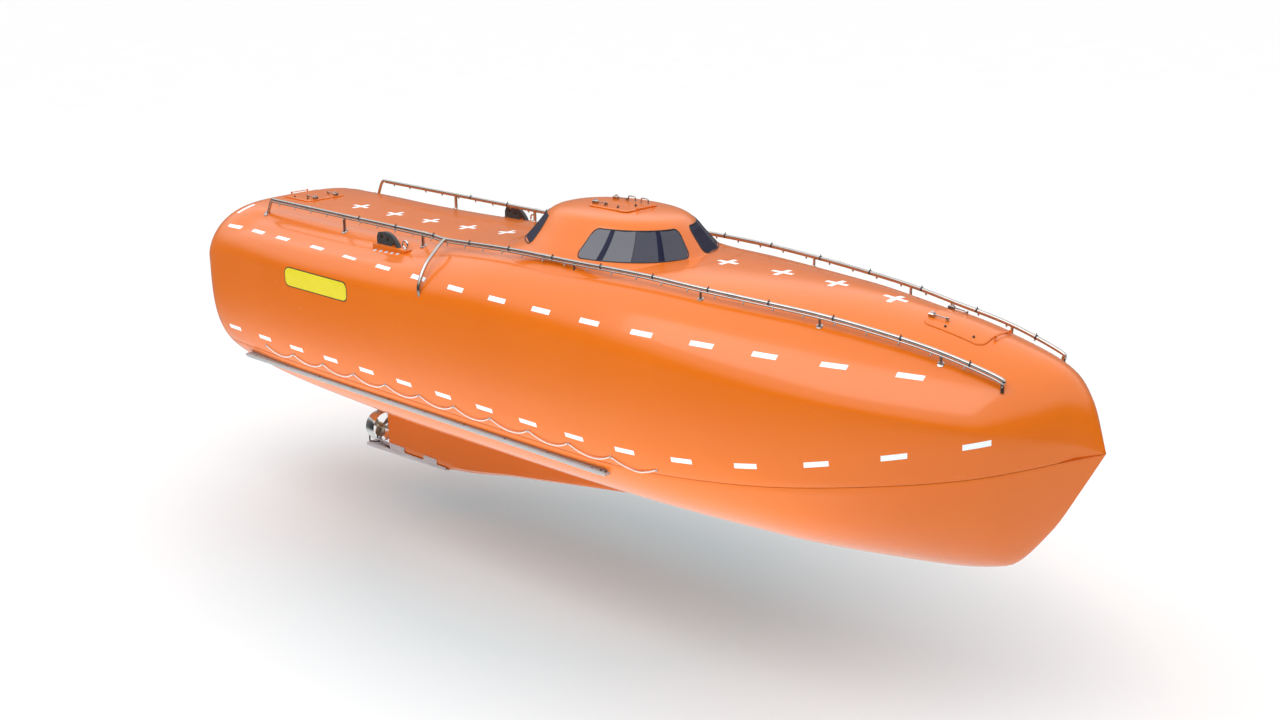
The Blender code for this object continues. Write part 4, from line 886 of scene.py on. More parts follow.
def pane_sheet(bm, margin, out, window):
    """The pane's face as columns between its bends, clipped to the outline."""
    mirror_x, mirror_y, (_, _, _, bends, dark_bands) = window
    # The aft panes and the fore port pane get the painted dark glass all over.
    dark = mirror_x < 0 or mirror_y > 0
    ring = pane_outline(margin, window)
    low_u, high_u = min(u for u, v in ring), max(u for u, v in ring)
    marks = list(bends[1:-1]) + [dark_band + side * DARK_BAND_HALF for dark_band in dark_bands for side in (-1, 1)]
    us = sorted(set([round(low_u + k / 40 * (high_u - low_u), 5) for k in range(41)] + marks))
    rows = []
    for u in us:
        vs = []
        for (u0, v0), (u1, v1) in zip(ring, ring[1:] + ring[:1]):
            if (u0 - u) * (u1 - u) <= 0 and abs(u1 - u0) > 1e-9:
                vs.append(v0 + (v1 - v0) * (u - u0) / (u1 - u0))
        if not vs:
            near = min(ring, key=lambda p: abs(p[0] - u))
            vs = [near[1]]
        low, high = min(vs), max(vs)
        rows.append(verts(bm, [pane_point(u, low + (high - low) * j / 6, out, window) for j in range(7)]))
    for u, a, b in zip(us, rows, rows[1:]):
        skin(bm, [a, b])
        # Faces on a dark pane or over a painted dark band take the painted dark glass.
        if dark or any(abs(u + 0.004 - dark_band) < DARK_BAND_HALF for dark_band in dark_bands):
            for face in {f for v in a for f in v.link_faces if all(w in a or w in b for w in f.verts)}:
                face.material_index = 1
    return rows


def pane_solid(bm, margin, out, deep, window):
    front = pane_sheet(bm, margin, out, window)
    back = pane_sheet(bm, margin, -deep, window)
    for j in (0, -1):
        skin(bm, [[row[j] for row in front], [row[j] for row in back]])
    for i in (0, -1):
        skin(bm, [front[i], back[i]])


print("windows drawn:", len(WINDOWS))

# %% [markdown]
# ## Fitting the panes
# The same outline makes a thick cutter and a thin pane. The cutter reaches well
# past the wall, because a flat facet lies inside the round wall between its
# bends, and a short one would leave a blister of wall in front of the glass.

# %% Cut the openings and fit the glass
for name, *window in WINDOWS:
    bm = bmesh.new()
    pane_solid(bm, 0.0, 0.10, 0.07, window)
    bmesh.ops.remove_doubles(bm, verts=bm.verts, dist=0.00005)
    cut(cupola, [tool("opening", bm)])
for name, *window in WINDOWS:
    bm = bmesh.new()
    pane_solid(bm, 0.004, 0.005, 0.010, window)
    pane = piece(name + "_pane", bm, glass, stands_for=(name,), sharp=math.radians(4))
    pane.data.materials.append(painted_dark_glass)
print("cupola with openings:", len(cupola.data.polygons), "faces")

# %% [markdown]
# ## Round bars
# Pipes, loops and seals are all a circle swept along a line. The line is
# first smoothed through its points, then the circle is carried along it
# without twisting, which keeps the highlights straight.

# %% Sweep a circle along a line
def smoothed(points, parts=6, closed=False):
    """Catmull-Rom curve through the points."""
    pts = [Vector(p) for p in points]
    out = []
    count = len(pts)
    for i in range(count if closed else count - 1):
        if closed:
            p0, p1, p2, p3 = (pts[(i + k) % count] for k in (-1, 0, 1, 2))
        else:
            p1, p2 = pts[i], pts[i + 1]
            p0 = pts[i - 1] if i else p1 * 2 - p2
            p3 = pts[i + 2] if i + 2 < count else p2 * 2 - p1
        for k in range(parts):
            t = k / parts
            out.append(0.5 * (2 * p1 + (p2 - p0) * t + (2 * p0 - 5 * p1 + 4 * p2 - p3) * t * t
                              + (3 * p1 - p0 - 3 * p2 + p3) * t ** 3))
    if not closed:
        out.append(pts[-1])
    return out


def sweep(bm, points, radius, sides=12, closed=False):
    """Tube along the points; radius may be a list with one value a point."""
    pts = [Vector(p) for p in points]
    count = len(pts)
    sizes = radius if isinstance(radius, (list, tuple)) else [radius] * count
    side = None
    rings = []
    for i, p in enumerate(pts):
        ahead = pts[(i + 1) % count] if closed or i + 1 < count else p
        behind = pts[i - 1] if closed or i else p
        along = (ahead - behind).normalized()
        if side is None:
            side = along.orthogonal()
        side = (side - along * side.dot(along)).normalized()
        up = along.cross(side)
        ring = [p + (side * math.cos(2 * math.pi * k / sides) + up * math.sin(2 * math.pi * k / sides))
                * sizes[i] for k in range(sides)]
        rings.append(verts(bm, ring))
    skin(bm, rings + rings[:1] if closed else rings, closed=True)
    if not closed:
        bm.faces.new(rings[0])
        bm.faces.new(rings[-1])


print("sweep ready")

# %% [markdown]
# ## Window seals
# A black rubber bead lies round each pane. It follows the pane's outline but
# is pushed out to the curved wall, so it touches the shell all the way. Fine
# black joints stand where the flat facets of the fore panes meet.

# %% Seals and joints
def seal(name, window):
    ring = [pane_point(u, v, 0.004, window) for u, v in pane_outline(-0.008, window, 8)]
    dense = []
    for a, b in zip(ring, ring[1:] + ring[:1]):
        parts = max(1, int((b - a).length / 0.04))
        dense += [a.lerp(b, k / parts) for k in range(parts)]
    bm = bmesh.new()
    sweep(bm, [cone_point_near(p, window) for p in dense], 0.008, 6, closed=True)
    piece(name, bm, rubber)


def cone_point_near(p, mirror):
    """Push a point out to the curved wall at its own height and angle."""
    x, y = (p.x - CUPOLA_X) * mirror[0], p.y * mirror[1]
    length, width = CONE_LENGTH(p.z), CONE_WIDTH(p.z)
    size = (abs(x / length) ** CUPOLA_POWER + abs(y / width) ** CUPOLA_POWER) ** (1 / CUPOLA_POWER)
    return Vector((CUPOLA_X + x / size * mirror[0], y / size * mirror[1], p.z))


for name, *window in WINDOWS:
    seal(name + "_seal", window)
    bends, dark_bands = window[2][3:]
    if dark_bands:
        bm = bmesh.new()
        middle = bends[2]
        line = [pane_point(middle, 0.03 + 0.94 * k / 6, 0.0045, window) for k in range(7)]
        sweep(bm, line, 0.004, 6)
        piece(name + "_joint", bm, rubber)

# %% [markdown]
# ## Reflective tape
# Strips of white reflective tape ring the boat so that a searchlight finds
# it: a row high on the side, a row above the waterline that climbs to the
# bow, and crosses on the deck. Each strip is a thin sheet laid on the skin,
# with its own thickness, so its edges catch a little light.

# %% Lay tape on the skin
TAPE_LONG, TAPE_WIDE, TAPE_THICK = 0.30, 0.064, 0.0012
LOW_TAPES = (
    (-6.21, 0.40), (-5.40, 0.40), (-4.60, 0.40), (-3.80, 0.40), (-3.00, 0.40), (-2.20, 0.40),
    (-1.40, 0.40), (-0.60, 0.40), (0.20, 0.40), (1.00, 0.40), (1.82, 0.42), (2.67, 0.50),
    (3.55, 0.64), (4.41, 0.84), (5.26, 1.08), (6.06, 1.33),
)
HIGH_TAPES = [(x, 1.90) for x in (-6.32, -5.75, -5.11, -4.25, -3.43, -2.64, -1.85, -1.06, -0.27,
                                  0.50, 1.29, 2.07, 2.87, 3.65, 4.43, 5.24)]
CROSSES = (-5.12, -4.32, -3.52, -2.72, -1.92, 1.99, 2.82, 3.60, 4.40)


def lay_sheet(bm, grid, thick=TAPE_THICK):
    """Thin closed sheet from a grid of (place, normal) pairs."""
    top = [verts(bm, [p + n * thick for p, n in row]) for row in grid]
    low = [verts(bm, [p - n * 0.0004 for p, n in row]) for row in grid]
    skin(bm, top)
    skin(bm, low)
    for j in (0, -1):
        skin(bm, [[row[j] for row in top], [row[j] for row in low]])
    for i in (0, -1):
        skin(bm, [top[i], low[i]])


def side_strip(bm, x, z, slope, side, long=TAPE_LONG, wide=TAPE_WIDE):
    here = on_side(x, z, side)[0]
    there = on_side(x + 0.05, z + slope * 0.05, side)[0]
    run = 0.05 / (there - here).length
    climb = 0.02 / (on_side(x, z + 0.02, side)[0] - here).length
    grid = []
    for i in range(9):
        u = (i / 8 - 0.5) * long * run
        grid.append([on_side(x + u, z + slope * u + (j / 2 - 0.5) * wide * climb, side) for j in range(3)])
    lay_sheet(bm, grid)


def row_slope(row, i):
    a, b = row[max(i - 1, 0)], row[min(i + 1, len(row) - 1)]
    return (b[1] - a[1]) / (b[0] - a[0])


def deck_strip(bm, x, y, along, long=TAPE_LONG, wide=TAPE_WIDE):
    ax, ay = along
    grid = []
    for i in range(9):
        u = (i / 8 - 0.5) * long
        grid.append([on_deck(x + ax * u - ay * w, y + ay * u + ax * w)
                     for w in (-wide / 2, 0, wide / 2)])
    lay_sheet(bm, grid)


for word, side in (("starboard", -1), ("port", 1)):
    for label, row in (("low", LOW_TAPES), ("high", HIGH_TAPES)):
        bm = bmesh.new()
        for i, (x, z) in enumerate(row):
            side_strip(bm, x, z, row_slope(row, i), side)
        piece(f"tape_{label}_{word}", bm, tape_white, weld=0)
    bm = bmesh.new()
    deck_strip(bm, -6.58, side * 1.04, (0, 1))
    piece(f"tape_stern_{word}", bm, tape_white, weld=0)
bm = bmesh.new()
for x in CROSSES:
    deck_strip(bm, x, 0.0, (1, 0))
    for arm in (-1, 1):
        deck_strip(bm, x, arm * (TAPE_LONG + TAPE_WIDE) / 4, (0, 1), (TAPE_LONG - TAPE_WIDE) / 2)
piece("tape_crosses", bm, tape_white, weld=0)
print("tape strips:", 2 * (len(LOW_TAPES) + len(HIGH_TAPES) + 1) + 2 * len(CROSSES))

# %% [markdown]
# ## The lifeline
# A rope hangs in loops along each side for a swimmer to hold. It is one rope,
# 18 mm thick, held in an eye at the top of each loop, so between two eyes it
# sags under its own weight. Three strands make a three-lobed section, and the
# section turns once in each lay as it runs along the path. The rounded tops
# keep every bend wide enough for such a rope.

# %% Rope in loops
ROPE_RADIUS, ROPE_LAY = 0.009, 0.060
LOOP_AFT, LOOP_PITCH, LOOPS, LOOP_TOP, LOOP_SAG = -5.44, 0.70, 11, 0.28, 0.10
LOOP_ROUND, LOOP_OFF = 0.045, 0.012


def loop_height(share):
    """Height of the rope where share runs from 0 to 1 between two eyes."""
    def sag(t):
        return LOOP_TOP - LOOP_SAG * 4 * t * (1 - t)
    near = min(share, 1 - share) * LOOP_PITCH
    if near >= LOOP_ROUND:
        return sag(share)
    t = LOOP_ROUND / LOOP_PITCH
    slope = 4 * LOOP_SAG / LOOP_PITCH * (1 - 2 * t)
    return sag(t) + slope * (LOOP_ROUND ** 2 - near ** 2) / (2 * LOOP_ROUND)


def rope_path(side, steps=40):
    path = []
    for k in range(LOOPS * steps + 1):
        share = k % steps / steps
        place, normal = on_side(LOOP_AFT + LOOP_PITCH * k / steps, loop_height(share), side)
        path.append(place + normal * (ROPE_RADIUS + 0.001 + LOOP_OFF * math.sin(math.pi * share)))
    return path


def stranded(bm, path, radius, lay, sides=12):
    """Tube of three lobes that turn as they go along."""
    rings, gone, side = [], 0.0, None
    for i, p in enumerate(path):
        along = (path[min(i + 1, len(path) - 1)] - path[max(i - 1, 0)]).normalized()
        side = along.orthogonal() if side is None else side
        side = (side - along * side.dot(along)).normalized()
        up = along.cross(side)
        gone += (p - path[i - 1]).length if i else 0.0
        ring = []
        for k in range(sides):
            a = 2 * math.pi * k / sides
            size = radius * (0.84 + 0.16 * abs(math.cos(1.5 * a)))
            turn = a + 2 * math.pi * gone / lay
            ring.append(p + (side * math.cos(turn) + up * math.sin(turn)) * size)
        rings.append(verts(bm, ring))
    skin(bm, rings, closed=True)
    bm.faces.new(rings[0])
    bm.faces.new(rings[-1])
    return gone


for word, side in (("starboard", -1), ("port", 1)):
    path = rope_path(side)
    dense = [a.lerp(b, h) for a, b in zip(path, path[1:]) for h in (0, 0.5)] + path[-1:]
    bm = bmesh.new()
    long = stranded(bm, dense, ROPE_RADIUS, ROPE_LAY)
    line = piece(f"lifeline_{word}", bm, rope_white, stands_for=(f"grab_line_{word}",), weld=0)
    print(f"lifeline {word}: {long:.2f} m of rope")

# %% [markdown]
# ## Turned parts
# Feet, knobs, bolt heads and the nozzle are all turned: a profile of radius
# and height goes round an axis. One helper makes them from such a profile, at
# any place and along any axis.

# %% Turn a profile
def turned(bm, profile, place=(0, 0, 0), axis=(0, 0, 1), sides=24, closed=False):
    """Profile of (radius, height) pairs; closed joins its end to its start."""
    axis = Vector(axis).normalized()
    side = axis.orthogonal().normalized()
    up = axis.cross(side)
    rings = []
    for radius, height in profile:
        middle = Vector(place) + axis * height
        rings.append(verts(bm, [middle + (side * math.cos(2 * math.pi * k / sides)
                                          + up * math.sin(2 * math.pi * k / sides)) * radius
                                for k in range(sides)]))
    skin(bm, rings + rings[:1] if closed else rings, closed=True)
    if not closed:
        bm.faces.new(rings[0])
        bm.faces.new(rings[-1])


def disc(bm, place, axis, radius, thick, edge=None, sides=20):
    """Round foot or washer with a softened upper edge."""
    edge = edge or thick * 0.35
    turned(bm, [(radius, 0), (radius, thick - edge), (radius - edge * 0.3, thick - edge * 0.3),
                (radius - edge, thick)], place, axis, sides)


def bolt(bm, place, axis, size=0.012):
    """Washer and six-sided head."""
    disc(bm, place, axis, size * 1.15, size * 0.22)
    turned(bm, [(size * 0.86, 0.0), (size * 0.86, size * 0.7), (size * 0.72, size * 0.8)],
           Vector(place) + Vector(axis).normalized() * size * 0.2, axis, 6)


print("turned parts ready")

# %% [markdown]
# ## Eyes of the lifeline
# At the top of each loop a small stainless eye is screwed to the side: an oval
# foot with a bail that goes over the rope.

# %% Rope eyes
EYE_BAR, EYE_HALF = 0.0035, 0.020
for word, side in (("starboard", -1), ("port", 1)):
    bm = bmesh.new()
    for k in range(LOOPS + 1):
        x = LOOP_AFT + LOOP_PITCH * k
        place, normal = on_side(x, loop_height(0.0), side)
        up = Vector((0, 0, 1))
        up = (up - normal * up.dot(normal)).normalized()
        for end in (-1, 1):
            disc(bm, place + up * end * EYE_HALF, normal, 0.009, 0.004, sides=14)
        bail = [place + up * EYE_HALF * math.cos(a) + normal * (0.002 + 0.023 * math.sin(a))
                for a in [math.pi * j / 12 for j in range(13)]]
        sweep(bm, bail, EYE_BAR, 8)
    piece(f"lifeline_eyes_{word}", bm, polished)
print("rope eyes:", 2 * (LOOPS + 1))

# %% [markdown]
# ## Handrail and spray pipe
# The handrail is a steel pipe that also feeds water to spray the boat in a
# fire. A thinner pipe hangs just under it and carries the spray nozzles. The
# bends are smoothed through the corner points, posts stand on round flanges,
# and a sleeve joins the branch that runs down the side.

# %% Handrail pipes
RAIL_RADIUS, RAIL_TOP, RAIL_HALF, RAIL_STANDOFF, RAIL_JOINT = 0.022, 2.31, 1.04, 0.13, -2.40
RAIL_BEND = ((-6.04, -0.29), (-5.93, -0.06), (-5.88, 0.0))
RAIL_POSTS, POST_AFT, POST_FORE = (-4.16, -2.45), 0.022, 0.016
RAIL_PLAN = ((-1.90, 1.08), (-0.60, 1.17), (0.55, 1.18), (1.60, 1.13), (2.48, 1.08),
             (3.28, 0.99), (4.02, 0.89), (4.73, 0.79), (5.46, 0.72), (6.10, 0.64))
BRANCH = ((-1.95, 1.085, 0.0), (-1.80, 1.35, -0.06), (-1.73, 1.62, -0.24), (-1.70, 1.76, -0.46),
          (-1.70, 1.755, -0.62))
SPRAY_RADIUS, SPRAY_DROP, SPRAY_OUT, SPRAY_STEP, STUD_STEP = 0.011, 0.030, 0.025, 0.38, 0.80


def rail_points():
    """The fore pipe's corners, with the after pipe's straight run before them."""
    line = [(x, RAIL_HALF, RAIL_TOP + z) for x, z in RAIL_BEND]
    line += [(-4.2, RAIL_HALF, RAIL_TOP), (RAIL_JOINT, RAIL_HALF, RAIL_TOP)]
    for x, off in RAIL_PLAN:
        lead = min(max((x + 2.2) / 1.6, 0.0), 1.0)
        z = deck_height(x, off) + RAIL_STANDOFF
        line.append((x, off, RAIL_TOP + (z - RAIL_TOP) * lead))
    x, off = RAIL_PLAN[-1]
    line.append((x + 0.045, off - 0.002, deck_height(x, off) + 0.055))
    line.append((x + 0.05, off, deck_height(x, off) - 0.02))
    return line


print("handrail to x =", RAIL_PLAN[-1][0])

# %% [markdown]
# ## Helpers for pipework
# A fitter works along a pipe: a clip or a post goes at a given place along the
# boat, a tight bend has an even radius, and a post ends in a round flange with
# three bolts. Each of these is one helper.

# %% Places, bends and flanges
def at_x(path, x):
    """Point of a path at a given x."""
    for a, b in zip(path, path[1:]):
        if min(a.x, b.x) <= x <= max(a.x, b.x) and abs(b.x - a.x) > 1e-6:
            return a.lerp(b, (x - a.x) / (b.x - a.x))
    return path[0] if abs(path[0].x - x) < abs(path[-1].x - x) else path[-1]


def bend_round(points, radius=0.055, parts=5):
    """Straight runs with an arc in place of each corner."""
    pts = [Vector(p) for p in points]
    out = [pts[0]]
    for a, b, c in zip(pts, pts[1:], pts[2:]):
        run = min(radius, (b - a).length * 0.45, (c - b).length * 0.45)
        start, end = b + (a - b).normalized() * run, b + (c - b).normalized() * run
        out += [start.lerp(b, t).lerp(b.lerp(end, t), t) for t in [k / parts for k in range(parts + 1)]]
    return out + [pts[-1]]


def flange(bm, foot, radius):
    place, normal = on_deck(foot[0], foot[1])
    disc(bm, place - normal * 0.002, normal, radius, 0.010)
    for k in range(3):
        a = 2 * math.pi * k / 3 + 0.4
        side = normal.orthogonal().normalized()
        spot = place + (side * math.cos(a) + normal.cross(side) * math.sin(a)) * radius * 0.68
        bolt(bm, spot + normal * 0.007, normal, 0.006)


print("pipe helpers ready")

# %% [markdown]
# ## The rail itself
# The after part is straight and level with a tight bend at its end. The fore
# part follows the deck's edge at an even height. Sleeves, posts and the branch
# down the side are welded on, so they are one piece with the rail.

# %% Handrail
POST_SINK = Vector((0, 0, 0.01))


def handrail(word, side):
    """One side's rail; gives its centre line and where the straight part starts."""
    corners = [Vector((x, y * side, z)) for x, y, z in rail_points()]
    bend = bend_round(corners[:4], 0.06)
    path = bend[:-1] + smoothed(corners[3:-1], 8) + [corners[-1]]
    bm = bmesh.new()
    sweep(bm, path, RAIL_RADIUS, 20)
    for x in (-5.0, RAIL_JOINT, 0.05, 2.9):
        spot = at_x(path, x)
        along = (at_x(path, x + 0.05) - at_x(path, x - 0.05)).normalized()
        turned(bm, [(RAIL_RADIUS, -0.055), (RAIL_RADIUS + 0.004, -0.050), (RAIL_RADIUS + 0.004, 0.050),
                    (RAIL_RADIUS, 0.055)], spot, along, 20)
    for x in RAIL_POSTS:
        spot = at_x(path, x)
        sweep(bm, [spot, on_deck(spot.x, spot.y)[0] - POST_SINK], POST_AFT, 14)
        flange(bm, spot, 0.050)
    for spot in corners[7:-2:2]:
        sweep(bm, [spot, on_deck(spot.x, spot.y)[0] - POST_SINK], POST_FORE, 14)
        flange(bm, spot, 0.040)
    foot = on_deck(corners[0].x, corners[0].y)[0]
    disc(bm, foot - Vector((0, 0, 0.004)), on_deck(foot.x, foot.y)[1], 0.052, 0.014)
    branch = smoothed([(x, y * side, RAIL_TOP + z) for x, y, z in BRANCH], 8)
    sweep(bm, branch, [POST_AFT + 0.004 * min(k / 20, 1) for k in range(len(branch))], 18)
    nodes = (f"handrail_aft_{word}", f"handrail_fore_{word}")
    piece(f"handrail_{word}", bm, pipe_steel, stands_for=nodes)
    print(f"handrail {word}: pipe of {sum((b - a).length for a, b in zip(path, path[1:])):.1f} m")
    return path, len(bend)


rails = {side: handrail(word, side) for word, side in (("starboard", -1), ("port", 1))}

# %% [markdown]
# ## Spray pipe and clips
# The spray pipe hangs just below the rail and a little outside it, with a
# small nozzle at even steps that points down and out. Dark clips with a stud
# on top hold the two pipes together.

# %% Spray pipe, nozzles and clips
def spray_pipe(word, side, path, straight):
    spray = []
    for p in path[straight - 3:-3]:
        spray.append(p + Vector((0, side * SPRAY_OUT, -SPRAY_DROP)))
    bm = bmesh.new()
    sweep(bm, spray, SPRAY_RADIUS, 12)
    x = spray[0].x + 0.2
    while x < spray[-1].x - 0.1:
        spot = at_x(spray, x)
        out = Vector((0, side * 0.5, -1)).normalized()
        turned(bm, [(0.008, 0), (0.008, 0.020), (0.011, 0.022), (0.011, 0.034), (0.006, 0.036),
                    (0.005, 0.046)], spot, out, 10)
        x += SPRAY_STEP
    piece(f"spray_pipe_{word}", bm, pipe_steel)


def rail_clips(word, path, straight):
    bm = bmesh.new()
    x = path[straight].x + 0.15
    while x < path[-4].x:
        spot = at_x(path, x)
        along = (at_x(path, x + 0.05) - at_x(path, x - 0.05)).normalized()
        turned(bm, [(RAIL_RADIUS + 0.003, -0.010), (RAIL_RADIUS + 0.005, -0.008),
                    (RAIL_RADIUS + 0.005, 0.008), (RAIL_RADIUS + 0.003, 0.010)], spot, along, 20, closed=True)
        turned(bm, [(0.006, 0), (0.006, 0.018), (0.004, 0.024)],
               spot + Vector((0, 0, RAIL_RADIUS)), (0, 0, 1), 8)
        x += STUD_STEP
    piece(f"rail_clips_{word}", bm, dark_paint)


for word, side in (("starboard", -1), ("port", 1)):
    path, straight = rails[side]
    spray_pipe(word, side, path, straight)
    rail_clips(word, path, straight)
print("spray nozzles every", SPRAY_STEP, "m")

# %% [markdown]
# ## Softened edges for small fittings
# Brackets and blocks are flat plates on the real boat, and what makes them
# look real is the small round on each edge that catches the light. The helper
# copies a solid's mesh, joins its coplanar triangles, bevels the edges that
# are left and lets the result stand for the solid.

# %% Bevel a copy of a solid
BODY_OF = {node: body for body, nodes in frame["record"]["behaviour"]["bodies"].items() for node in nodes}
SLOT_OF = {part["node"]: part["material_slot"] for part in frame["record"]["subparts"]}


def copy_of(node):
    bm = bmesh.new()
    bm.from_mesh(frame["nodes"][node].data)
    bmesh.ops.remove_doubles(bm, verts=bm.verts, dist=0.00002)
    bmesh.ops.dissolve_limit(bm, angle_limit=math.radians(0.8), verts=bm.verts, edges=bm.edges)
    return bm


def dressed(node, mat, bevel, add=None, least=25):
    bm = copy_of(node)
    sharp = [e for e in bm.edges if len(e.link_faces) == 2 and e.calc_face_angle(0) > math.radians(least)]
    bmesh.ops.bevel(bm, geom=sharp, offset=bevel, segments=2, affect="EDGES", profile=0.6, clamp_overlap=True)
    if add:
        add(bm)
    return piece(f"{node}_dressed", bm, mat, body=BODY_OF[node],
                 stands_for=(node,))


# %% [markdown]
# ## Deck hatches
# Each lid is a low pan with rounded corners that follows the deck's crown. It
# is lofted from rings of one rounded outline: down at the deck, up the side,
# round the edge and in over the top, then the recessed underside, so the lid
# also looks right when it is open. A black seal lies on the deck below it.

# %% Hatch lids
LID_RISE, LID_CORNER = 0.018, 0.10


def rounded_outline(x0, x1, half, corner, parts=8):
    """Points round a rectangle with rounded corners, densely along its sides."""
    ring = []
    for cx, cy, first in ((x1 - corner, half - corner, 0), (x0 + corner, half - corner, 90),
                          (x0 + corner, corner - half, 180), (x1 - corner, corner - half, 270)):
        for i in range(parts + 1):
            a = math.radians(first + 90 * i / parts)
            ring.append((cx + corner * math.cos(a), cy + corner * math.sin(a)))
    dense = []
    for a, b in zip(ring, ring[1:] + ring[:1]):
        steps = max(1, int(math.hypot(b[0] - a[0], b[1] - a[1]) / 0.06))
        dense += [(a[0] + (b[0] - a[0]) * k / steps, a[1] + (b[1] - a[1]) * k / steps) for k in range(steps)]
    return dense


def pan(bm, x0, x1, half, corner, floor, profile, under):
    """Rings over floor(x, y): profile and under give (inset, height) pairs."""
    middle, size = (x0 + x1) / 2, min((x1 - x0) / 2, half)
    outline = rounded_outline(x0, x1, half, corner)

    def ring(inset, height):
        k = 1 - inset / size
        spots = [(middle + (x - middle) * (1 - inset / ((x1 - x0) / 2)), y * (1 - inset / half))
                 for x, y in outline] if k > 0.3 else [(middle + (x - middle) * k, y * k) for x, y in outline]
        return verts(bm, [(x, y, floor(x, y) + height) for x, y in spots])

    steps = list(profile)
    last, top = profile[-1]
    steps += [(last + (size * 0.985 - last) * i / 6, top) for i in range(1, 7)]
    rows = [ring(*s) for s in steps]
    skin(bm, rows, closed=True)
    bm.faces.new(rows[-1])
    low = list(under)
    last, top = under[-1]
    low += [(last + (size * 0.985 - last) * i / 3, top) for i in range(1, 4)]
    back = [rows[0]] + [ring(*s) for s in low]
    skin(bm, back, closed=True)
    bm.faces.new(back[-1])


def lid_profile(rise):
    return [(0.0, 0.0015), (0.001, rise * 0.55), (0.004, rise * 0.82), (0.010, rise * 0.96), (0.018, rise)]


UNDER = [(0.020, 0.0015), (0.022, 0.012), (0.050, 0.014)]
for name, x0, x1, half, end in HATCHES:
    bm = bmesh.new()
    pan(bm, x0, x1, half, LID_CORNER, deck_height, lid_profile(LID_RISE), UNDER)
    piece(f"{name}_lid", bm, gelcoat, body=name, stands_for=(name,))
    bm = bmesh.new()
    rim = [on_deck(x, y) for x, y in rounded_outline(x0 + 0.027, x1 - 0.027, half - 0.027, 0.05)]
    sweep(bm, [p + n * 0.004 for p, n in rim], 0.005, 6, closed=True)
    piece(f"{name}_seal", bm, rubber)
    bm = bmesh.new()
    for share, y in ((0.36, -0.29), (0.80, -0.27)):
        x = x0 + (x1 - x0) * share
        disc(bm, (x, y, deck_height(x, y) + LID_RISE), (0, 0, 1), 0.015, 0.008)
        turned(bm, [(0.010, 0.0), (0.010, 0.010), (0.006, 0.014)],
               (x, y, deck_height(x, y) + LID_RISE + 0.006), (0, 0, 1), 12)
    piece(f"{name}_knobs", bm, dark_paint, body=name)
print("deck hatches:", len(HATCHES))

# %% [markdown]
# ## Top hatch and stern door
# The hatch on the cupola is the same kind of lid on a nearly flat roof, where
# its own hole is cut first. The stern door is a pan too, but upright: it is
# built lying down and then each point is stood up against the transom.

# %% Top hatch, stern door
ROOF, TOP_X, TOP_LONG, TOP_WIDE, TOP_RISE = 2.895, 0.26, 0.35, 0.31, 0.018
WAY_LONG, WAY_WIDE = 0.275, 0.215       # half sizes of the hole in the roof
cut(cupola, [block("hole", (TOP_X - WAY_LONG, -WAY_WIDE, 2.7), (TOP_X + WAY_LONG, WAY_WIDE, 3.0), 0.03)])
bm = bmesh.new()
pan(bm, TOP_X - TOP_LONG, TOP_X + TOP_LONG, TOP_WIDE, 0.09, lambda x, y: ROOF,
    lid_profile(TOP_RISE), [(0.03, 0.0015), (0.032, 0.010), (0.06, 0.012)])
piece("top_hatch_lid", bm, gelcoat, body="top_hatch", stands_for=("top_hatch",))
bm = bmesh.new()
rim = rounded_outline(TOP_X - TOP_LONG + 0.04, TOP_X + TOP_LONG - 0.04, TOP_WIDE - 0.04, 0.05)
sweep(bm, [(x, y, ROOF + 0.004) for x, y in rim], 0.005, 6, closed=True)
piece("top_hatch_seal", bm, rubber)
bm = bmesh.new()
for x, y in ((TOP_X - 0.12, -0.20), (TOP_X + 0.10, -0.20), (TOP_X + 0.20, 0.02)):
    disc(bm, (x, y, ROOF + TOP_RISE), (0, 0, 1), 0.018, 0.010)
    turned(bm, [(0.009, 0), (0.009, 0.016), (0.006, 0.02)], (x, y, ROOF + TOP_RISE + 0.008), (0, 0, 1), 12)
piece("top_hatch_knobs", bm, dark_paint, body="top_hatch")

DOOR_LAP, DOOR_THICK = 0.03, 0.045
door_mid = (DOOR_SILL + DOOR_HEAD) / 2
door_tall, door_wide = (DOOR_HEAD - DOOR_SILL) / 2 + DOOR_LAP, DOOR_HALF + DOOR_LAP


def stand_up(bm):
    for v in bm.verts:
        x, y, z = v.co
        v.co = (STERN - 0.0005 - z, y, door_mid + x)


bm = bmesh.new()
pan(bm, -door_tall, door_tall, door_wide, 0.08, lambda x, y: 0.0,
    lid_profile(0.030) + [(0.060, 0.030), (0.066, 0.036), (0.074, 0.042), (0.084, 0.0445)],
    [(0.03, 0.0015), (0.032, 0.012), (0.05, 0.014)])
stand_up(bm)
piece("stern_door_pan", bm, gelcoat, body="stern_door", stands_for=("stern_door",))
print("stern door", round(door_tall * 2, 2), "m tall")

# %% [markdown]
# ## Lever latches
# A latch is a small cast block with a rod that runs over the lid to a clamp.
# One helper makes it on any surface and in any direction. The bars are lofted
# from eight-sided rings, which keeps their long edges soft.

# %% The lever latch
EIGHT_SIDES = ((-1, -0.6), (-0.7, -1), (0.7, -1), (1, -0.6), (1, 0.6), (0.7, 1), (-0.7, 1), (-1, 0.6))


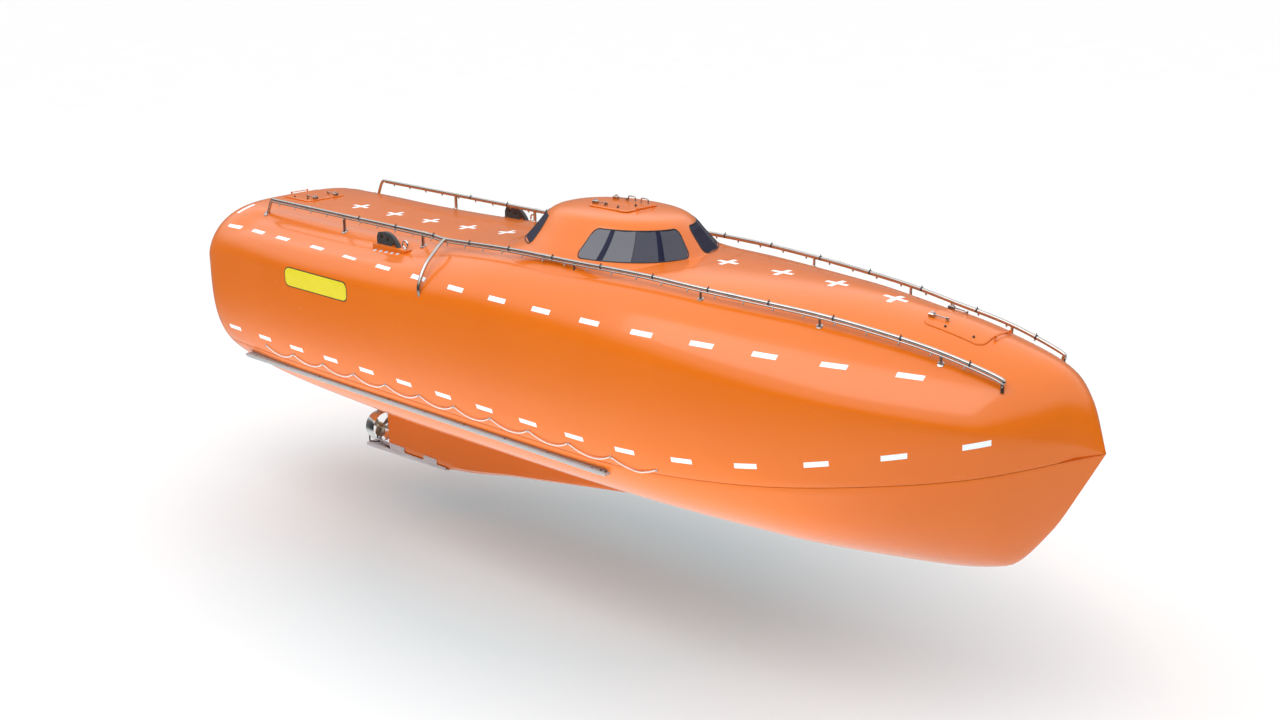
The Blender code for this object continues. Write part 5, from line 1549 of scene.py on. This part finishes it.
def lever(bm, place, normal, along, reach=0.20):
    place, normal = Vector(place), Vector(normal).normalized()
    along = (Vector(along) - normal * Vector(along).dot(normal)).normalized()
    across = normal.cross(along)

    def bar(stops):
        """Loft of flattened eight-sided rings: place along, half width, low and high."""
        rows = []
        for u, wide, low, high in stops:
            mid, thick = (low + high) / 2, (high - low) / 2
            middle = place + along * u + normal * mid
            rows.append(verts(bm, [middle + across * wide * c + normal * thick * s for c, s in EIGHT_SIDES]))
        skin(bm, rows, closed=True)
        bm.faces.new(rows[0])
        bm.faces.new(rows[-1])

    bar([(-0.045, 0.024, 0.0, 0.030), (-0.040, 0.029, 0.0, 0.042), (0.020, 0.029, 0.0, 0.046),
         (0.028, 0.024, 0.0, 0.036)])
    turned(bm, [(0.014, 0.044), (0.016, 0.048), (0.016, 0.058), (0.011, 0.062)], place, normal, 18)
    bar([(0.0, 0.007, 0.022, 0.036), (reach, 0.006, 0.022, 0.034)])
    bar([(reach - 0.034, 0.011, 0.0, 0.034), (reach - 0.030, 0.014, 0.0, 0.040),
         (reach - 0.004, 0.014, 0.0, 0.040), (reach, 0.011, 0.0, 0.034)])
    for side in (-1, 1):
        bolt(bm, place + across * side * 0.019 - along * 0.030 + normal * 0.040, normal, 0.0045)


print("lever latch ready")

# %% [markdown]
# ## A latch in each corner
# Every hatch has two latches at its free edge and the stern door has one. On
# the curved deck a latch stands square to the lid, so the lid's slope is
# measured where the latch goes.

# %% Place the latches
def top_of(x, y):
    return Vector((x, y, deck_height(x, y) + LID_RISE - 0.001))


def lid_normal(x, y):
    slope_x = (deck_height(x + 0.01, y) - deck_height(x - 0.01, y)) / 0.02
    slope_y = (deck_height(x, y + 0.01) - deck_height(x, y - 0.01)) / 0.02
    return Vector((-slope_x, -slope_y, 1)).normalized()


LATCH_IN, LATCH_OFF = 0.055, 0.19
for name, x0, x1, half, end in HATCHES:
    free = x0 if end > 0 else x1
    for side, word in ((-1, "starboard"), (1, "port")):
        x, y = free + end * LATCH_IN, side * LATCH_OFF
        bm = bmesh.new()
        lever(bm, top_of(x, y), lid_normal(x, y), (end, 0, 0))
        piece(f"{name}_lever_{word}", bm, pipe_steel, body=name,
              stands_for=(f"{name}_latch_{word}",))
for side, word in ((-1, "starboard"), (1, "port")):
    bm = bmesh.new()
    lever(bm, (TOP_X - TOP_LONG + LATCH_IN, side * LATCH_OFF, ROOF + TOP_RISE - 0.001), (0, 0, 1), (1, 0, 0))
    piece(f"top_hatch_lever_{word}", bm, pipe_steel, body="top_hatch",
          stands_for=(f"top_hatch_latch_{word}",))
bm = bmesh.new()
lever(bm, (STERN - DOOR_THICK, 0.25, 1.1), (-1, 0, 0), (0, -1, 0), 0.15)
piece("stern_door_lever", bm, pipe_steel, body="stern_door", stands_for=("stern_door_latch",))
print("latches:", 2 * len(HATCHES) + 3)

# %% [markdown]
# ## Hinges and grab loops
# The three hatches turn on low painted knuckles with a pin between them. The
# stern door's hinge keeps its blocks and pin from the solids, with softened
# edges. Two bent bars on the top hatch give a hand hold.

# %% Knuckles, door hinge and loops
PINS = [(name, Vector(((x1 if end > 0 else x0) + end * 0.035, 0, 0))) for name, x0, x1, _, end in HATCHES]
for _, pin in PINS:
    pin.z = deck_height(pin.x, 0) + 0.03
PINS.append(("top_hatch", Vector((TOP_X + TOP_LONG + 0.035, 0, ROOF + 0.03))))
for name, pin in PINS:
    bm = bmesh.new()
    sweep(bm, [pin - Vector((0, 0.16, 0)), pin + Vector((0, 0.16, 0))], 0.006, 12)
    for y in (-0.148, 0.148):
        knuckle = pin + Vector((0, y, 0))
        turned(bm, [(0.010, -0.012), (0.012, -0.010), (0.012, 0.010), (0.010, 0.012)], knuckle, (0, 1, 0), 18)
        sweep(bm, [knuckle, knuckle - Vector((0, 0, 0.022)), knuckle - Vector((0, 0, 0.034))],
              [0.008, 0.010, 0.016], 14)
    piece(f"{name}_knuckles", bm, gelcoat, stands_for=(f"{name}_hinge",))
dressed("stern_door_hinge", pipe_steel, 0.002)
for word, x in (("aft", TOP_X - 0.05), ("fore", TOP_X + 0.17)):
    foot, top = ROOF + TOP_RISE - 0.001, ROOF + TOP_RISE + 0.064
    bm = bmesh.new()
    loop = bend_round([(x - 0.06, 0.22, foot), (x - 0.06, 0.22, top), (x + 0.06, 0.22, top),
                       (x + 0.06, 0.22, foot)], 0.03)
    sweep(bm, loop, 0.0088, 12)
    for end in (-0.06, 0.06):
        disc(bm, (x + end, 0.22, foot), (0, 0, 1), 0.020, 0.005)
    piece(f"top_hatch_loop_{word}", bm, pipe_steel, body="top_hatch",
          stands_for=(f"top_hatch_grab_{word}",))
print("hinges:", len(PINS) + 1)

# %% [markdown]
# ## Lifting lugs
# The lugs take the boat's whole weight on their slots, so they are thick dark
# plates on a wide foot, which is laminated over in the deck's orange. A row of
# bright pads with bolts shows along its outer edge, and a bright eye stands on
# its fore end.

# %% Lugs, foot bolts and eyes
LUG_OFF, LUG_AFT, LUG_FORE, LUG_FOOT_LONG = 1.19, -3.22, -2.72, 0.15
for word, side in (("starboard", -1), ("port", 1)):
    lug = dressed(f"lifting_lug_{word}", dark_paint, 0.005)
    lug.data.materials.append(gelcoat)
    foot_top = deck_height(LUG_FORE + LUG_FOOT_LONG, LUG_OFF - 0.07) + 0.014
    for face in lug.data.polygons:
        if face.center.z < foot_top + 0.003:
            face.material_index = 1
    bm = bmesh.new()
    for k in range(5):
        x, y = LUG_AFT + 0.03 + 0.12 * k, side * (LUG_OFF + 0.085)
        place, normal = on_deck(x, y)
        disc(bm, place - normal * 0.001, normal, 0.028, 0.007)
        bolt(bm, place + normal * 0.005, normal, 0.008)
    piece(f"lug_pads_{word}", bm, shoe_steel)
    low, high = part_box(f"lifting_eye_{word}")
    middle = [(l + h) / 2 for l, h in zip(low, high)]
    bm = bmesh.new()
    ring = [(middle[0] + 0.050 * math.cos(a), middle[1], middle[2] + 0.050 * math.sin(a))
            for a in [2 * math.pi * k / 32 for k in range(32)]]
    sweep(bm, ring, 0.0138, 14, closed=True)
    turned(bm, [(0.030, 0), (0.030, 0.008), (0.020, 0.014), (0.014, 0.022)],
           (middle[0], middle[1], low[2] - 0.001), (0, 0, 1), 20)
    piece(f"lug_eye_{word}", bm, polished, stands_for=(f"lifting_eye_{word}",))
print("lugs ready")

# %% [markdown]
# ## Launch rails
# A runner is welded along each side: the boat slides down its ramp on it. It
# is a plain steel box section that disappears into the hull. The section is
# swept along x, with its inner edge kept inside the skin.

# %% Runners
RUN_AFT, RUN_FORE, RUN_OUT, RUN_LOW, RUN_HIGH, RUN_ROUND = -6.12, 1.38, 1.54, -0.055, 0.0, 0.008
for word, side in (("starboard", -1), ("port", 1)):
    rows = []
    bm = bmesh.new()
    for i in range(61):
        x = RUN_AFT + (RUN_FORE - RUN_AFT) * i / 60
        tuck = RUN_ROUND * 0.7 if i in (0, 60) else 0.0
        inner = min(abs(on_side(x, z, side)[0].y) for z in (RUN_LOW, RUN_HIGH)) - 0.03
        out, low, high, r = RUN_OUT - tuck, RUN_LOW + tuck, RUN_HIGH - tuck, RUN_ROUND
        outline = [(inner, low), (out - r, low), (out - r * 0.3, low + r * 0.3), (out, low + r),
                   (out, high - r), (out - r * 0.3, high - r * 0.3), (out - r, high), (inner, high)]
        rows.append(verts(bm, [(x, side * y, z) for y, z in outline]))
    skin(bm, rows, closed=True)
    bm.faces.new(rows[0])
    bm.faces.new(rows[-1])
    piece(f"runner_{word}", bm, rail_grey, stands_for=(f"launch_rail_{word}",))
    bm = bmesh.new()
    for k in range(10):
        x = RUN_AFT + 0.25 + 0.78 * k
        bolt(bm, (x, side * (RUN_OUT - 0.022), RUN_HIGH - 0.001), (0, 0, 1), 0.009)
    for x, thick in ((RUN_FORE - 0.008, 0.012), (RUN_FORE - 0.09, 0.010)):
        disc(bm, (x, side * (RUN_OUT - 0.03), RUN_HIGH - 0.001), (0, 0, 1), 0.013, thick)
    piece(f"runner_bolts_{word}", bm, dark_paint)
print("runners:", round(RUN_FORE - RUN_AFT, 2), "m each")

# %% [markdown]
# ## Skeg and heel shoe
# The skeg is a deep fin on the centreline. Its lower edge is rounded and its
# root is faired into the bottom with a hollow curve, so it is lofted from
# upright sections that widen towards the hull. The steel shoe below it guards
# the nozzle: its cheeks come from the solid, with softened edges and bolts, and
# a small frame of round bar stands on its heel.

# %% Skeg
SKEG_AFT, SKEG_FORE, SKEG_HALF, SKEG_FLARE = -4.62, 2.30, 0.075, 0.10
SKEG_SOLE = smooth_curve([-4.62, -3.36, -1.77, -0.19, 2.30], [-1.5535, -1.5535, -1.31, -1.06, -0.68])


def bottom(x, y):
    place = SKIN_TREE.ray_cast(Vector((x, y, -4.0)), Vector((0, 0, 1)))[0]
    return place.z


bm = bmesh.new()
rows = []
for i in range(71):
    x = SKEG_AFT + (SKEG_FORE - SKEG_AFT) * i / 70
    low, top = SKEG_SOLE(x), bottom(x, 0.0) + 0.02
    tall = max(top - low, 0.004)
    fade = ease(tall / 0.25)
    edge = SKEG_HALF * (0.75 if low < -1.55 else 0.35)
    half = []
    for k in range(15):
        t = k / 14
        z = low + tall * t
        y = SKEG_HALF * fade + 0.002
        if z < low + 0.05:
            y = min(y, edge + (y - edge) * math.sqrt(max(0.0, 1 - (1 - (z - low) / 0.05) ** 2)))
        flare = max(0.0, 1 - (top - z) / 0.22)
        half.append((y + SKEG_FLARE * flare ** 2.4 * fade, z))
    rows.append(verts(bm, [(x, -y, z) for y, z in half] + [(x, y, z) for y, z in half[::-1]]))
skin(bm, rows, closed=True)
bm.faces.new(rows[0])
bm.faces.new(rows[-1])
piece("skeg_fin", bm, gelcoat, stands_for=("skeg",), weld=0)


def shoe_bolts(bm):
    for x0, x1 in ((-4.60, -4.25), (-3.80, -3.50)):
        for k in range(3):
            for side in (-1, 1):
                bolt(bm, (x0 + 0.05 + (x1 - x0 - 0.10) * k / 2, side * 0.0870, -1.50), (0, side, 0), 0.010)


dressed("skeg_shoe", shoe_steel, 0.003, shoe_bolts)
bm = bmesh.new()
for side in (-1, 1):
    corners = [Vector((x, side * 0.075, z)) for x, z in ((-5.10, -1.550), (-5.10, -1.40), (-4.86, -1.505))]
    for a, b in zip(corners, corners[1:] + corners[:1]):
        sweep(bm, [a, b], 0.011, 8)
piece("heel_frame", bm, dark_paint)
bm = copy_of("stock_bearing")
piece("stock_bearing_boss", bm, gelcoat, stands_for=("stock_bearing",))
print("skeg:", round(SKEG_FORE - SKEG_AFT, 2), "m long")

# %% [markdown]
# ## Steering nozzle
# The nozzle is a ring with a wing section: thick and round at its leading
# edge, thin at the trailing edge. It is turned about the shaft line and has
# its stock, palm and pintle on it, with a short stay on each side of its inner
# face.

# %% Nozzle
PROP_X, PROP_Z, RING_IN, RING_OUT, RING_LONG = -4.90, -1.26, 0.205, 0.235, 0.20
STOCK_TOP, PINTLE_REACH = -0.782, 0.36
ring = []
for k in range(28):
    a = 2 * math.pi * k / 28
    u = math.cos(a)
    thick = 0.5 * (RING_OUT - RING_IN) * math.sin(a) * (0.62 + 0.38 * u)
    ring.append(((RING_OUT + RING_IN) / 2 + thick + 0.004 * u, RING_LONG / 2 * u))
bm = bmesh.new()
turned(bm, ring, (PROP_X, 0, PROP_Z), (1, 0, 0), 72, closed=True)
lip = RING_IN + 0.014
turned(bm, [(0.030, 0), (0.030, STOCK_TOP - PROP_Z - lip)], (PROP_X, 0, PROP_Z + lip), (0, 0, 1), 28)
turned(bm, [(0.022, 0), (0.022, PINTLE_REACH - lip)], (PROP_X, 0, PROP_Z - lip), (0, 0, -1), 24)
palm = [(0.055, 0), (0.055, 0.012), (0.050, 0.018), (0.038, 0.022), (0.031, 0.05)]
turned(bm, palm, (PROP_X, 0, PROP_Z + RING_OUT - 0.008), (0, 0, 1), 28)
turned(bm, [(0.040, 0), (0.040, 0.010), (0.034, 0.016), (0.023, 0.030)],
       (PROP_X, 0, PROP_Z - RING_OUT + 0.006), (0, 0, -1), 24)
for turn in (0.0, math.pi):
    out = Vector((0, math.cos(turn), math.sin(turn)))
    rows = []
    for share in (0.999, 0.72):
        middle = Vector((PROP_X - 0.085, 0, PROP_Z)) + out * RING_IN * share
        rows.append(verts(bm, [middle + Vector((dx, 0, dz)) for dx, dz in
                               ((-0.02, 0), (-0.01, -0.005), (0.01, -0.005), (0.02, 0), (0.01, 0.005),
                                (-0.01, 0.005))]))
    skin(bm, rows, closed=True)
    bm.faces.new(rows[0])
    bm.faces.new(rows[-1])
piece("nozzle_ring", bm, polished, body="nozzle", stands_for=("steering_nozzle",))
print("nozzle ring turned")

# %% [markdown]
# ## Propeller
# A blade is a twisted wing: flat to the water at its tip and steep at its
# root. Its sections are wrapped round the shaft line, so they lie on cylinders
# as a propeller maker draws them, and the loft joins them from root to tip.

# %% Propeller blades and hub
BLADES, BLADE_TURN, TIP = 3, 0.35, 0.178
PITCH = smooth_curve([0.18, 0.45, 0.75, 0.93, 1.0], [58, 40, 29, 24, 22])
CHORD = smooth_curve([0.18, 0.45, 0.75, 0.93, 1.0], [0.10, 0.15, 0.165, 0.12, 0.045])
bm = bmesh.new()
for blade in range(BLADES):
    first = 2 * math.pi * blade / BLADES + BLADE_TURN
    rows = []
    for i in range(17):
        share = 0.18 + 0.82 * i / 16
        radius, chord, pitch = TIP * share, CHORD(share), math.radians(PITCH(share))
        outline = []
        for k in range(20):
            a = 2 * math.pi * k / 20
            along = 0.5 * chord * math.cos(a)
            across = 0.5 * (0.014 - 0.010 * share) * math.sin(a)
            angle = first + (along * math.cos(pitch) + across * math.sin(pitch)) / radius
            x = along * math.sin(pitch) - across * math.cos(pitch)
            outline.append((PROP_X + x, radius * math.cos(angle), PROP_Z + radius * math.sin(angle)))
        rows.append(verts(bm, outline))
    skin(bm, rows, closed=True)
    bm.faces.new(rows[0])
    bm.faces.new(rows[-1])
hub = [(0.012, -0.120), (0.022, -0.114), (0.034, -0.095), (0.043, -0.065), (0.045, -0.05), (0.045, 0.055),
       (0.040, 0.060), (0.0255, 0.062), (0.025, 0.066), (0.025, 0.56)]
turned(bm, hub, (PROP_X, 0, PROP_Z), (1, 0, 0), 32)
piece("propeller_blades", bm, bronze, body="propeller", stands_for=("propeller",))
print("propeller:", BLADES, "blades,", round(TIP * 2, 2), "m across")

# %% [markdown]
# ## Outlet pipe and release hook
# Cooling water leaves through a dark pipe beside the nozzle, open at its end.
# The hook plate behind the transom holds the boat on its ramp until it is let
# go; it has a foot bolted to the transom and a bright bush in its eye.

# %% Outlet and hook
bm = bmesh.new()
pipe = bend_round([(-5.05, 0.16, -0.50), (-5.20, 0.16, -0.72), (-5.42, 0.16, -0.74)], 0.12, 8)
sweep(bm, pipe, 0.045, 24)
end = [f for f in bm.faces if len(f.verts) == 24 and f.calc_center_median().x < -5.40]
bmesh.ops.inset_region(bm, faces=end, thickness=0.006)
pushed = bmesh.ops.extrude_face_region(bm, geom=end)
deep = [v for v in pushed["geom"] if isinstance(v, bmesh.types.BMVert)]
bmesh.ops.translate(bm, vec=(0.10, 0, 0), verts=deep)
bmesh.ops.delete(bm, geom=end, context="FACES")
piece("outlet_bend", bm, dark_paint, stands_for=("outlet_pipe",))


def hook_fittings(bm):
    for z in (0.28, 0.06):
        for side in (-1, 1):
            place = SKIN_TREE.ray_cast(Vector((-8, side * 0.05, z)), Vector((1, 0, 0)))[0]
            bolt(bm, place - Vector((0.009, 0, 0)), (-1, 0, 0), 0.013)


dressed("release_hook", dark_paint, 0.004, hook_fittings)
bm = bmesh.new()
for side in (-1, 1):
    turned(bm, [(0.036, 0), (0.046, 0), (0.046, 0.003), (0.044, 0.005), (0.038, 0.005), (0.036, 0.003)],
           (STERN - 0.09, side * 0.0245, 0.14), (0, side, 0), 28, closed=True)
piece("hook_bush", bm, polished)
print("outlet and hook ready")

# %% [markdown]
# ## Inside the cabin
# Through the windows and open hatches one sees a grey interior: the sole, the
# raised helm platform, a console and the engine's plain case. Softened edges
# and a console top with a wheel and two round dials are enough at that range.

# %% Cabin furniture
for name, mat in (("cabin_sole", lining), ("engine_bed", lining), ("engine_block", dark_paint),
                  ("helm_platform", lining), ("helm_console", lining)):
    dressed(name, mat, 0.006)
bm = bmesh.new()
WHEEL_RADIUS, WHEEL_SPOKES = 0.15, 3
wheel_middle, lean = Vector((0.50, 0.0, 1.86)), Vector((-0.94, 0, 0.34)).normalized()
up = Vector((0.34, 0, 0.94)).normalized()


def on_wheel(share):
    a = 2 * math.pi * share
    return wheel_middle + (up * math.cos(a) + Vector((0, 1, 0)) * math.sin(a)) * WHEEL_RADIUS


sweep(bm, [on_wheel(k / 40) for k in range(40)], 0.012, 10, closed=True)
for k in range(WHEEL_SPOKES):
    sweep(bm, [wheel_middle, on_wheel(k / WHEEL_SPOKES)], 0.008, 8)
turned(bm, [(0.03, -0.012), (0.03, 0.012), (0.02, 0.018)], wheel_middle, lean, 20)
turned(bm, [(0.014, 0.0), (0.014, 0.09)], wheel_middle, -lean, 14)
piece("helm_wheel", bm, rubber)
bm = bmesh.new()
for y in (-0.2, 0.2):
    turned(bm, [(0.052, 0), (0.052, 0.010), (0.046, 0.014), (0.044, 0.008)], (0.70, y, 2.049), (0, 0, 1), 32)
piece("helm_dials", bm, dark_paint)
print("cabin ready")

# %% [markdown]
# ## Padded helm seat
# The seat is two cushions. Each starts as a rounded block that is a little too
# small, is remeshed into small even faces and then blown up by the cloth
# solver, so its faces crown and its corners pull in like real upholstery. Two
# bars carry the back.

# %% Cushions by cloth simulation
CUSHION_VOXEL, CUSHION_PUFF = 0.012, 0.016


def cushion(name, low, high, stands_for=()):
    bm = bmesh.new()
    bmesh.ops.create_cube(bm, size=1.0)
    inset = 0.012
    bmesh.ops.scale(bm, vec=[h - l - 2 * inset for l, h in zip(low, high)], verts=bm.verts)
    bmesh.ops.translate(bm, vec=[(h + l) / 2 for l, h in zip(low, high)], verts=bm.verts)
    bmesh.ops.bevel(bm, geom=bm.edges[:], offset=0.022, segments=3, affect="EDGES", profile=0.5)
    ob = piece(name, bm, seat_cloth, stands_for=stands_for)
    remesh = ob.modifiers.new("even", "REMESH")
    remesh.mode, remesh.voxel_size = "VOXEL", CUSHION_VOXEL
    ob.data = bpy.data.meshes.new_from_object(ob.evaluated_get(bpy.context.evaluated_depsgraph_get()))
    ob.modifiers.clear()
    rest = [v.co.copy() for v in ob.data.vertices]
    cloth = ob.modifiers.new("stuffing", "CLOTH")
    cloth.settings.use_pressure = True
    cloth.settings.uniform_pressure_force = 4.0
    cloth.settings.effector_weights.gravity = 0.0
    for step in range(1, 21):
        scene.frame_set(step)
    puffed = bpy.data.meshes.new_from_object(ob.evaluated_get(bpy.context.evaluated_depsgraph_get()))
    ob.modifiers.clear()
    ob.data = puffed
    scene.frame_set(1)
    for v, start in zip(puffed.vertices, rest):
        move = v.co - start
        if move.length > CUSHION_PUFF:
            v.co = start + move.normalized() * CUSHION_PUFF
    for v in ob.data.vertices:
        v.co = [min(max(c, l + 0.0005), h - 0.0005) for c, l, h in zip(v.co, low, high)]
    for face in ob.data.polygons:
        face.use_smooth = True
    if not ob.data.materials:
        ob.data.materials.append(seat_cloth)
    return ob


SEAT_TOP, SEAT_HALF = 1.25, 0.24
base = cushion("seat_cushion", (-0.40, -SEAT_HALF, SEAT_TOP + 0.001), (0.05, SEAT_HALF, SEAT_TOP + 0.12),
               ("helm_seat",))
rest_pad = cushion("seat_back", (-0.50, -SEAT_HALF, SEAT_TOP + 0.13), (-0.385, SEAT_HALF, 2.42))
bm = bmesh.new()
for y in (-0.15, 0.15):
    sweep(bm, bend_round([(-0.46, y, SEAT_TOP + 0.004), (-0.46, y, 2.2)], 0.02), 0.012, 10)
piece("seat_frame", bm, dark_paint)
print("cushions:", len(base.data.polygons) + len(rest_pad.data.polygons), "faces")

# %% [markdown]
# ## Yellow panel on the side
# A bright yellow film panel is stuck high on each quarter, with a thin black
# border. It is left blank here. Its outline is drawn on the hull's side in
# metres along and up, and every point is then dropped onto the skin.

# %% Panel and border
PANEL = (-4.63, -3.20, 1.35, 1.63)


def on_skin_outline(outline, side, lift):
    places = []
    for x, z in outline:
        place, normal = on_side(x, z, side)
        places.append(place + normal * lift)
    return places


for word, side in (("starboard", -1), ("port", 1)):
    x0, x1, z0, z1 = PANEL
    middle_x, middle_z, half_x, half_z = (x0 + x1) / 2, (z0 + z1) / 2, (x1 - x0) / 2, (z1 - z0) / 2
    border = rounded_outline(-half_x, half_x, half_z, 0.09)

    def film(shrink, lift, mat, label, thick):
        bm = bmesh.new()
        layers = []
        for rise in (lift + thick, lift):
            rows = []
            for step in (1.0, 0.85, 0.6, 0.35, 0.12):
                size_x, size_z = step * (1 - shrink / half_x), step * (1 - shrink / half_z)
                scaled = [(middle_x + u * size_x, middle_z + v * size_z) for u, v in border]
                rows.append(verts(bm, on_skin_outline(scaled, side, rise)))
            skin(bm, rows, closed=True)
            bm.faces.new(rows[-1])
            layers.append(rows)
        skin(bm, [layers[0][0], layers[1][0]], closed=True)
        piece(f"{label}_{word}", bm, mat, weld=0)

    film(0.0, 0.0004, rubber, "panel_border", 0.0008)
    film(0.014, 0.0012, yellow, "panel_film", 0.0010)
print("panel:", round(PANEL[1] - PANEL[0], 2), "m long")

# %% [markdown]
# ## Studio
# The boat hangs over a white floor that fades into the background, so its shadow is wide and soft. Under the
# boat, the paper is painted darker and bluer in a soft oval. This painted shadow deepens the cast one and
# takes out the tint that orange light from the hull would give it. The floor is left out of the reflections,
# which come from the sky alone.

# %% Floor
FLOOR_Z, FLOOR_HALF = -2.35, 150.0
# Painted shadow: a soft oval of darker, bluer paper under the boat, given by its middle and stretch.
SHADOW_PAINT_MIDDLE, SHADOW_PAINT_SPREAD = (-0.05, -0.03, 0), (1 / 14, 1 / 10, 0)
SHADOW_PAINT_BLUE = rgb(0.61, 0.78, 0.84)


def floor_painted_shadow_pattern(tree):
    grain = noise(space(tree), 0.6, 3.0)
    spot = space(tree, SHADOW_PAINT_SPREAD)
    away = spot.put("ShaderNodeVectorMath", {"operation": "DISTANCE"}, {0: spot, 1: SHADOW_PAINT_MIDDLE}, "Value")
    paper = grain.mix(rgb(0.93, 0.93, 0.93), rgb(0.96, 0.96, 0.96))
    return {
        # Darker, bluer paint under the boat: a painted shadow that also takes out the orange tint.
        "Base Color": away.ramp((0.22, 0), (0.62, 1)).mix(SHADOW_PAINT_BLUE, paper),
        "Roughness": 0.85 + grain * 0.1,
    }


bm = bmesh.new()
bmesh.ops.create_grid(bm, x_segments=8, y_segments=8, size=FLOOR_HALF)
mesh = bpy.data.meshes.new("studio_floor")
bm.to_mesh(mesh)
bm.free()
floor = bpy.data.objects.new("studio_floor", mesh)
scene.collection.objects.link(floor)
floor.location = (0, 0, FLOOR_Z)
mesh.materials.append(finish("floor_paper_painted_shadow", floor_painted_shadow_pattern, specular_ior_level=0.1))
floor.visible_glossy = False
print("floor at", FLOOR_Z)

# %% [markdown]
# ## Sky
# A glossy hull shows its surroundings, so the sky is drawn for its reflection.
# It is bright overhead and dim towards the horizon on the camera's side, which
# gives the side its dark streak, and less dim on the far side, which the deck
# shows. It is a sum of two ramps over the height, one for each side.

# %% Soft sky
# Brightness against height: 0 is straight down, 0.5 the horizon, 1 straight up.
NEAR_SKY = ((0.0, 0.70), (0.24, 0.70), (0.36, 0.03), (0.645, 0.06), (0.755, 1.0))
FAR_SKY = ((0.0, 0.70), (0.24, 0.70), (0.36, 0.22), (0.62, 0.22), (0.72, 1.0))
FAR_SIDE = (-0.67, 0.74)
SKY_POWER = 1.22

world = bpy.data.worlds.new("soft_sky")
scene.world = world
world.use_nodes = True
sky = Wire(world.node_tree)
look = sky.put("ShaderNodeTexCoord", out="Generated")
ahead, aside, up = (look.put("ShaderNodeSeparateXYZ", None, {0: look}, axis) for axis in "XYZ")
far = (ahead * FAR_SIDE[0] + aside * FAR_SIDE[1]).ramp((0.1, 0), (0.5, 1))
up = up * 0.5 + 0.5
glow = (up.ramp(*NEAR_SKY) * (1 - far) + up.ramp(*FAR_SKY) * far) * SKY_POWER
back = world.node_tree.nodes["Background"]
world.node_tree.links.new(glow.socket, back.inputs["Strength"])
back.inputs["Color"].default_value = rgb(1.0, 1.0, 1.0)

print("sky ready")

# %% [markdown]
# ## Lamps
# A wide lamp overhead casts the soft shadow, which the painted shadow in the floor paper deepens, and a long
# low one lifts the bottom, as light from a white floor would. The low one is kept out of the picture and out
# of the reflections, where it would show as a bright bar.

# %% Two wide lamps
def wide_lamp(name, long, wide, power, place, tilt):
    """Rectangular lamp, turned about the X axis by tilt degrees."""
    data = bpy.data.lights.new(name, "AREA")
    data.shape, data.size, data.size_y = "RECTANGLE", long, wide
    data.energy = power
    lamp = bpy.data.objects.new(name, data)
    scene.collection.objects.link(lamp)
    lamp.location = place
    lamp.rotation_euler = (math.radians(tilt), 0, 0)
    return lamp


wide_lamp("soft_lamp", 18, 8, 830, (1.6, -8.4, 13.4), 31)
fill = wide_lamp("low_fill", 11, 1.2, 64, (-1.0, -2.6, -1.95), 145)
fill.data.spread = math.radians(100)
fill.visible_glossy = fill.visible_camera = False
print("lamps: 2")

# %% [markdown]
# ## Plain finishes
# Any solid that is still shown as it came gets the finish of its kind.

# %% Finish
plain_finish = {"orange": gelcoat, "glass": glass, "steel": pipe_steel, "bright": polished,
                "bronze": bronze, "rail": rail_grey, "dark": dark_paint, "grey": lining,
                "seat": seat_cloth, "line": rope_white}
for name, ob in frame["nodes"].items():
    if not ob.material_slots:
        ob.data.materials.append(None)
    for place in ob.material_slots:
        place.material = plain_finish[SLOT_OF[name]]
